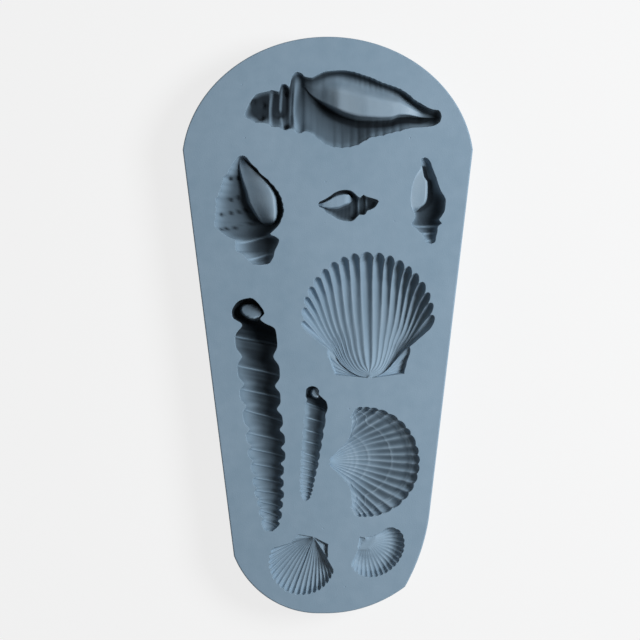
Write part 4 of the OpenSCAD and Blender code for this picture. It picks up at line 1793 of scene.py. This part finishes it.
TINY_CORE: Table = (
    (0, -0.03, -0.01, 0), (0.03, -0.06, 0.02, 0.3), (0.1, -0.11, 0.07, 0.7), (0.2, -0.15, 0.18, 0.84),
    (0.27, -0.15, 0.28, 0.86), (0.33, -0.14, 0.33, 0.88), (0.43, -0.06, 0.36, 0.88),
    (0.5, -0.006, 0.34, 0.8), (0.55, 0.07, 0.25, 0.4), (0.575, 0.12, 0.2, 0),
    (0.7, 0, 0.04, 0), (1, 0.065, 0.08, 0),
)
SLIM_SECTIONS: Table = (
    (0.008, -0.217, -0.087, 0.25), (0.031, -0.261, -0.029, 0.36), (0.066, -0.255, 0.023, 0.42),
    (0.112, -0.26, 0.058, 0.46), (0.17, -0.345, 0.116, 0.5), (0.227, -0.415, 0.174, 0.55),
    (0.273, -0.465, 0.209, 0.6), (0.343, -0.515, 0.267, 0.68), (0.4, -0.535, 0.328, 0.76),
    (0.446, -0.545, 0.406, 0.86), (0.493, -0.549, 0.449, 0.94), (0.539, -0.54, 0.443, 0.98),
    (0.573, -0.525, 0.435, 1), (0.614, -0.48, 0.42, 1), (0.648, -0.43, 0.377, 0.98),
    (0.689, -0.435, 0.31, 0.94), (0.717, -0.458, 0.261, 0.9), (0.74, -0.493, 0.29, 0.88),
    (0.764, -0.536, 0.339, 0.86), (0.781, -0.53, 0.261, 0.8), (0.804, -0.464, 0.223, 0.72),
    (0.821, -0.391, 0.212, 0.7), (0.85, -0.333, 0.209, 0.66), (0.879, -0.232, 0.197, 0.6),
    (0.919, -0.174, 0.168, 0.5), (0.96, -0.13, 0.157, 0.38), (0.983, -0.087, 0.125, 0.22),
)
SLIM_CORE: Table = (
    (0, -0.19, -0.17, 0), (0.07, -0.25, -0.235, 0), (0.112, -0.25, -0.217, 0.5), (0.17, -0.33, -0.183, 0.85),
    (0.227, -0.4, -0.145, 0.96), (0.273, -0.45, -0.058, 0.97), (0.343, -0.5, -0.043, 0.97),
    (0.4, -0.52, -0.043, 0.97), (0.446, -0.53, -0.049, 0.97), (0.493, -0.534, -0.072, 0.97),
    (0.539, -0.525, -0.145, 0.97), (0.573, -0.51, -0.261, 0.94), (0.6, -0.48, -0.33, 0.7),
    (0.62, -0.46, -0.38, 0), (0.7, -0.3, -0.2, 0), (0.8, -0.1, -0.05, 0), (1, 0.02, 0.04, 0),
)
AUGER_EDGES: Table = (
    (0, -0.24, -0.22, 0.3), (0.004, -0.34, -0.17, 0.5), (0.015, -0.453, -0.11, 0.7),
    (0.03, -0.52, -0.05, 0.85), (0.06, -0.576, 0.035, 0.95), (0.085, -0.56, 0.06, 1),
    (0.11, -0.5, 0.14, 1), (0.13, -0.49, 0.25, 1), (0.17, -0.51, 0.274, 1), (0.31, -0.465, 0.33, 0.96),
    (0.43, -0.41, 0.345, 0.9), (0.52, -0.35, 0.385, 0.86), (0.61, -0.29, 0.43, 0.8),
    (0.68, -0.255, 0.437, 0.74), (0.735, -0.2, 0.41, 0.68), (0.8, -0.165, 0.405, 0.62),
    (0.845, -0.13, 0.41, 0.56), (0.89, -0.085, 0.388, 0.52), (0.94, -0.03, 0.365, 0.44),
    (0.97, 0.0, 0.33, 0.36), (0.99, 0.035, 0.25, 0.26), (1, 0.08, 0.2, 0.12),
)
AUGER_LINES_LEFT = (0.1655, 0.29, 0.3905, 0.478, 0.577, 0.6455, 0.71, 0.772, 0.8255, 0.87, 0.907, 0.952)
AUGER_LINES_RIGHT = (0.204, 0.337, 0.433, 0.534, 0.622, 0.686, 0.744, 0.8, 0.849, 0.903, 0.948, 0.982)
AUGER_WAISTS_LEFT = (0.116, 0.251, 0.369, 0.463, 0.562, 0.635, 0.7, 0.763, 0.815, 0.862, 0.9, 0.945)
AUGER_WAISTS_RIGHT = (0.095, 0.253, 0.378, 0.478, 0.566, 0.643, 0.71, 0.768, 0.819, 0.866, 0.909, 0.956)
SMALL_AUGER_EDGES: Table = (
    (0, -0.05, 0, 0.3), (0.006, -0.14, 0.08, 0.5), (0.03, -0.25, 0.19, 0.75), (0.07, -0.268, 0.25, 0.9),
    (0.1, -0.27, 0.33, 1), (0.14, -0.27, 0.48, 1), (0.19, -0.286, 0.52, 1), (0.3, -0.32, 0.446, 0.96),
    (0.42, -0.37, 0.375, 0.88), (0.52, -0.4, 0.305, 0.8), (0.6, -0.42, 0.245, 0.74),
    (0.68, -0.435, 0.196, 0.66), (0.75, -0.45, 0.125, 0.6), (0.85, -0.464, 0.036, 0.5),
    (0.92, -0.455, -0.03, 0.4), (0.97, -0.4, -0.1, 0.3), (0.99, -0.35, -0.16, 0.2),
    (1, -0.28, -0.24, 0.1),
)
SMALL_AUGER_LINES_LEFT = (0.143, 0.267, 0.375, 0.476, 0.573, 0.641, 0.706, 0.764, 0.82, 0.872, 0.91, 0.945)
SMALL_AUGER_LINES_RIGHT = (0.224, 0.333, 0.441, 0.53, 0.647, 0.698, 0.755, 0.806, 0.86, 0.9, 0.936, 0.972)
SMALL_AUGER_WAISTS_LEFT = (0.12, 0.24, 0.35, 0.45, 0.55, 0.62, 0.69, 0.75, 0.8, 0.85, 0.895, 0.935)
SMALL_AUGER_WAISTS_RIGHT = (0.07, 0.252, 0.388, 0.482, 0.572, 0.654, 0.732, 0.799, 0.851, 0.893, 0.93, 0.96)
SCALLOP_RIDGES = (
    -45.4, -39.6, -34.6, -28.8, -23.8, -19.2, -13.8, -8.8, -3.3, 3.3, 8.6, 13.9, 19.4, 24.6, 30.0, 35.4,
    40.4, 47.1,
)
COCKLE_RIDGES = (
    -59.0, -55.0, -50.0, -43.8, -36.3, -27.6, -21.0, -14.3, -7.6, -1.3, 4.7, 10.8, 18.7, 23.9, 31.2, 39.1,
    46.6, 52.4, 58.0,
)
SCALLOP_EARS: Table = ((0, 0.76, 0.76), (0.5, 0.6, 0.6), (1, 0.525, 0.525))
FAN_EARS: Table = ((0, 0.69, 0.77), (0.4, 0.56, 0.61), (1, 0.46, 0.5))
RIGHT_FAN_EARS: Table = ((0, 0.55, 0.5), (0.3, 0.33, 0.48), (0.6, 0.25, 0.46), (1, 0.22, 0.44))
RIGHT_FAN_OPENING: Table = ((0, 1, 0.79), (0.3, 1, 0.79), (0.48, 1, 0.83), (0.76, 1, 0.93), (1.08, 1, 1))
RIGHT_FAN_TRIM: Table = ((-80, 1), (48, 1), (58, 0.97), (65, 0.9), (70, 0.8), (80, 0.8))
RIGHT_FAN_PLATE: Table = ((-0.22, -0.12), (0.2, -0.54), (0.51, -0.21), (0.42, 0.12), (0.27, 0.42))
COCKLE_OPENING: Table = (
    (0, 2, 2), (0.03, 1.9, 1.9), (0.06, 1.7, 1.7), (0.1, 1.47, 1.47), (0.134, 1.3, 1.3), (0.2, 1.16, 1.16),
    (0.26, 1.1, 1.1), (0.4, 1.03, 1.03), (0.54, 1, 1), (2, 1, 1),
)
SCALLOP_OPENING: Table = (
    (0, 1.5, 1.5), (0.1, 1.47, 1.47), (0.24, 1.33, 1.36), (0.45, 1.1, 1.18), (0.68, 1, 1.02), (0.8, 1, 1),
    (2, 1, 1),
)
SCALLOP_DOME: Table = (
    (0, 0.1), (0.06, 0.16), (0.18, 0.37), (0.36, 0.74), (0.5, 0.94), (0.62, 1), (0.75, 0.92), (0.88, 0.72),
    (1, 0.5),
)
# Share of the cockle's painted shade along the way from the beak to the rim
COCKLE_PAINTED_SHADE: Table = ((0, 0.3), (0.36, 0.42), (0.45, 0.55), (0.62, 0.95), (0.75, 1), (1, 1))
COCKLE_DOME: Table = (
    (0, 0.18), (0.06, 0.42), (0.2, 0.8), (0.35, 1), (0.5, 0.97), (0.7, 0.84), (0.85, 0.68), (1, 0.4),
)
RIGHT_FAN_DOME: Table = ((0, 0.16), (0.25, 0.24), (0.4, 0.5), (0.6, 0.92), (0.72, 1), (0.86, 0.8), (1, 0.3))
COCKLE_BEAK: Table = ((0, 0.03), (41, 0.04), (46, 0.26), (49, 0.54), (58, 0.79), (63, 0.9))


def knobs(places: Table, radius: float, depth: float) -> tuple[Nodule, ...]:
    """Returns a knob for each place, given as shares of the length and the width."""
    return tuple(Nodule(along, across, radius, depth) for along, across in places)


def coiled_shells() -> list[Cavity]:
    """Sets the sizes of the shells that lie on their mouths.

    Returns:
        The four cavities.
    """
    whelk = CoiledShell(
        "whelk", (0.783, 0.745), 180, 10.5, length=61.5, width=24, sections=WHELK_SECTIONS,
        ends=(0.08, 0.058), cores=WHELK_CORE, cliff=Side.LEFT, rows=205, lip_columns=16,
        cords=(
            Cord(((-0.5, 0.733), (0, 0.752), (0.3, 0.733)), 0.9, 1.1),
            Cord(((-0.4, 0.809), (0, 0.819), (0.3, 0.804)), 0.4, 0.4),
            Cord(((-0.3, 0.862), (0, 0.872), (0.25, 0.865)), 0.5, 0.5),
        ),
        nodules=knobs(((0.908, -0.078), (0.916, 0.091), (0.959, -0.117), (0.79, -0.234), (0.821, 0.042),
                       (0.789, 0.215)), 0.9, 1.3),
        riblets=(Riblets(2.9, 0.03, 0.2, 0.7), Riblets(1.87, 0.03, 0.2, 0.8), Riblets(0.8, 0.03, 0.2, 0.95)),
        edge_waves=(EdgeWave(Side.LEFT, 2.6, 0.3, 0.15, 0.68), EdgeWave(Side.RIGHT, 1.6, 0.2, 0.08, 0.5)),
        lip_share=0.5, lip_step=0.15, cliff_share=0.085, paint_power=0.9, body_rise=1, body_steepness=0.7,
        painted_shade_range=(0, 3.6), body_clearing=0.4, clear_power=0.6, slot_width=1.25, slot_depth=1.6,
        spire_painted_shade=0.12, nose_power=5,
    )
    spiny = CoiledShell(
        "spiny", (-0.536, 0.588), -90, 8.8, length=34.2, width=21.4, sections=SPINY_SECTIONS,
        ends=(-0.115, 0.146), cores=SPINY_CORE, cliff=Side.LEFT, body=Side.RIGHT, rows=112,
        cords=(
            Cord(((-0.204, 0.798), (0.306, 0.7345)), 0.3, 0.5),
            Cord(((-0.03, 0.944), (0.335, 0.899)), 0.3, 0.4),
        ),
        nodules=knobs(((0.196, -0.175), (0.372, -0.197), (0.484, -0.058), (0.607, -0.001), (0.592, 0.098),
                       (0.625, -0.122), (0.653, -0.249), (0.664, -0.359), (0.668, -0.427), (0.516, -0.3),
                       (0.534, -0.423), (0.502, -0.175), (0.393, -0.3), (0.205, -0.29)), 0.5, 0.8),
        riblets=(Riblets(0.9, 0.04, 0.1, 0.95),),
        edge_waves=(EdgeWave(Side.RIGHT, 2.3, 0.4, 0.1, 0.7), EdgeWave(Side.LEFT, 1.9, 0.25, 0.15, 0.66)),
        lip_share=0.85, lip_step=0.52, cliff_share=0.15, paint_power=1.3, paint_share=0.8, body_rise=1,
        body_hold=0.8, body_steepness=0.5, body_clearing=0.35, clear_power=1.2, nose_power=2.5,
        painted_shade_range=(0, 5.5),
    )
    tiny = CoiledShell(
        "tiny", (-0.069, 0.42), 0, 5, length=19, width=9.8, sections=TINY_SECTIONS,
        ends=(-0.02, 0.073), cores=TINY_CORE, cliff=Side.RIGHT, body=Side.RIGHT, rows=70,
        lip_columns=8, core_columns=16, body_columns=16, lip_share=0.15, cliff_share=0.15, paint_share=0,
        painted_shade_range=(0.2, 2.6),
        cords=(
            Cord(((-0.4, 0.663), (0.3, 0.663)), 0.35, 0.4),
            Cord(((-0.35, 0.795), (0.3, 0.795)), 0.3, 0.3),
        ),
        riblets=(Riblets(1.2, 0.06, 0.1, 0.65),),
    )
    slim = CoiledShell(
        "slim", (0.704, 0.581), -90, 5.6, length=27, width=10.8, sections=SLIM_SECTIONS,
        ends=(-0.15, 0.03), cores=SLIM_CORE, cliff=Side.LEFT, rows=92, lip_columns=4, core_columns=14,
        body_columns=20, flat_lip=True, cliff_share=0.15, body_level=1, paint_share=0.8,
        painted_shade_range=(0.3, 5),
        cords=(
            Cord(((-0.5, 0.79), (0.3, 0.793)), 0.35, 0.5),
            Cord(((-0.3, 0.874), (0.2, 0.874)), 0.3, 0.4),
            Cord(((-0.2, 0.955), (0.2, 0.955)), 0.3, 0.3),
        ),
        riblets=(Riblets(1.1, 0.05, 0.45, 0.98),),
    )
    return [whelk, spiny, tiny, slim]


def auger_shells() -> list[Cavity]:
    """Sets the sizes of the slim shells with slanting whorls.

    Returns:
        The two cavities.
    """
    large = AugerShell(
        "auger", (-0.453, 0.094), -90, 6.6, length=72.8, width=16.5, edges=AUGER_EDGES,
        lines_left=AUGER_LINES_LEFT, lines_right=AUGER_LINES_RIGHT,
        waists_left=AUGER_WAISTS_LEFT, waists_right=AUGER_WAISTS_RIGHT,
        mouth=(0.058, -0.21, 0.035, 0.24), cord_width=0.32, nodules=(Nodule(0.403, 0.113, 0.45, 0.7),),
        painted_shade_range=(0, 3.4), painted_shade_share=1, left_clearing=0.52,
    )
    small = AugerShell(
        "small_auger", (-0.102, -0.212), -90, 3.6, length=35.7, width=8.7, edges=SMALL_AUGER_EDGES,
        lines_left=SMALL_AUGER_LINES_LEFT, lines_right=SMALL_AUGER_LINES_RIGHT,
        waists_left=SMALL_AUGER_WAISTS_LEFT, waists_right=SMALL_AUGER_WAISTS_RIGHT,
        waist_depths=(0.05, 0.05), steepness=0.6, chamber=0.4, mouth=(0.062, 0.12, 0.048, 0.21),
        whorl_rows=12, mouth_rows=26, apex_rows=8, columns=28,
        cord_height=0.2, cord_width=0.2, cord_gap=0.35, striae=((-0.8, 0.04), (0.7, 0.03)),
        painted_shade_range=(0, 3), painted_shade_share=0.85, wall_painted_shade=0.4, painted_shade_fall=0.4,
        mouth_clearing=0.7, line_paleness=1,
    )
    return [large, small]


def ribbed_shells() -> list[Cavity]:
    """Sets the sizes of the scallops and cockles.

    Returns:
        The four cavities.
    """
    scallop = RibbedShell(
        "scallop", (0.287, -0.184), 91.4, 7.2, radius=20.8, half_width=20.8, reach=18.6,
        fan=(-53.4, 53.4), ridges=SCALLOP_RIDGES, flare=(2.4, 2.4), opening=SCALLOP_OPENING,
        ears=(-84, 83), ear_rows=SCALLOP_EARS, fixed_ears=True, ear_depth=0.9, ear_slope=(2.5, 1.5),
        ear_wave_height=0.28, ear_waves=4, beak_slope=1.4, dome=SCALLOP_DOME, side_floor=0.2, side_power=2.8,
        rib_rise=(0.8, 0.38), folds=((9, 0.4),), ring_lines=64, painted_shade_share=0.4, painted_shade_range=(1, 9),
    )
    cockle = RibbedShell(
        "cockle", (0.008, -0.475), 0, 5.6, radius=17.2, half_width=17.2, reach=11.1,
        fan=(-64, 64), ridges=COCKLE_RIDGES, spine=-12, flare=(0.3, 0.8), opening=COCKLE_OPENING,
        beak=COCKLE_BEAK, lobe=(0.022, 0.024), dome=COCKLE_DOME, side_floor=0.2,
        rib_share=0.27, sharpness=1.2,
        rings=((0.2, 0.4), (0.25, 0.6), (0.3, 0.7), (0.436, 0.8), (0.7, 0.7), (0.905, 0.6), (0.935, 0.8)),
        ring_tilt=0.1, ring_height=0.22, ring_width=0.008, ring_painted_shade=COCKLE_PAINTED_SHADE, crest_painted_highlight=0.85,
        ring_lines=64, groove_lines=9, painted_shade_share=0.72, painted_shade_range=(0.8, 4.5),
    )
    left_fan = RibbedShell(
        "left_fan", (-0.099, -0.735), -114.7, 3.7, radius=10.3, half_width=10.3, reach=8.6,
        fan=(-51, 57), grooves=19, flare=(0.8, 0.8), ears=(-75, 88), ear_rows=FAN_EARS, ear_depth=0.7,
        ear_slope=(0.4, 2.2), ear_wave_height=0.06, smooth_beak=3.6, lobe=(0.035, 0.05), side_floor=0.3,
        side_power=2.4, rib_rise=(0.85, 0.35), folds=((9, 0.3),), groove_lines=8, ring_lines=38, ear_lines=8,
        painted_shade_share=0.3, painted_shade_range=(0.5, 4),
    )
    right_fan = RibbedShell(
        "right_fan", (0.256, -0.738), -45, 3.4, radius=7.4, half_width=9.5, reach=5.4,
        fan=(-74, 70), grooves=18, opening=RIGHT_FAN_OPENING, ears=(-146, 74), ear_rows=RIGHT_FAN_EARS,
        ear_depth=0.55, ear_wave_height=0.0, plate=RIGHT_FAN_PLATE, plate_depth=0.55, smooth_beak=3.4,
        trim=RIGHT_FAN_TRIM, lobe=(0.03, 0.03), dome=RIGHT_FAN_DOME, side_floor=0.15, side_power=2.2,
        rib_share=0.17, rib_rise=(0.85, 0.35), groove_lines=8, ring_lines=34, ear_lines=8,
        painted_shade_share=0.2, painted_shade_range=(0.5, 4),
    )
    return [scallop, cockle, left_fan, right_fan]


@dataclass(frozen=True)
class Mould:
    """The whole mould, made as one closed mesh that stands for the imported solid."""

    node: str = "mould_body"
    body: str = "root"
    slot: str = "silicone"
    piece_name: str = "silicone_mould"
    bubbles: Table = (
        (-26.9, 75.0, 0.28), (-25.9, 58.4, 0.3), (25.6, 58.4, 0.3), (-17.8, 51.3, 0.22), (-0.7, 44.7, 0.25),
        (20.8, 32.4, 0.3), (-1.0, 31.8, 0.22), (-1.4, -63.5, 0.25), (28.0, -6.1, 0.22), (6.6, -26.2, 0.3),
        (5.3, -81.7, 0.25),
    )
    bubble_depth: float = 0.14

    def build(self) -> bpy.types.Object:
        """Builds the mesh in the node's box and dresses it.

        Returns:
            The mould's object.
        """
        low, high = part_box(self.node)
        slab = Slab(tuple(v / METRES for v in low), tuple(v / METRES for v in high))
        draft = Draft()
        holes = []
        for cavity in [*coiled_shells(), *auger_shells(), *ribbed_shells(), *self.pits(slab)]:
            before = draft.count
            holes.append(cavity.carve(draft, slab))
            LOGGER.info("%s: %d points", cavity.name, draft.count - before)
        slab.build(draft, holes)
        piece = draft.make(self.piece_name)
        piece.data.materials.append(SiliconeFinish().make())
        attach(piece, self.body)
        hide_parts(self.node)
        LOGGER.info("%s: %d faces", piece.name, len(piece.data.polygons))
        return piece

    def pits(self, slab: Slab) -> list[Hollow]:
        """Sets out the pits that air bubbles left in the face.

        Args:
            slab: The slab that they lie in.

        Returns:
            The pits.
        """
        half = (slab.half_width, slab.half_length)
        return [
            Pit(f"bubble_{k}", (x / half[0], y / half[1]), 0, self.bubble_depth, radius=radius)
            for k, (x, y, radius) in enumerate(self.bubbles, 1)
        ]


def main() -> None:
    """Loads the frame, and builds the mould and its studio."""
    logging.basicConfig(level=logging.INFO, format="%(name)s: %(message)s")
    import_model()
    Mould().build()
    Studio().build()


if __name__ == "__main__":
    main()
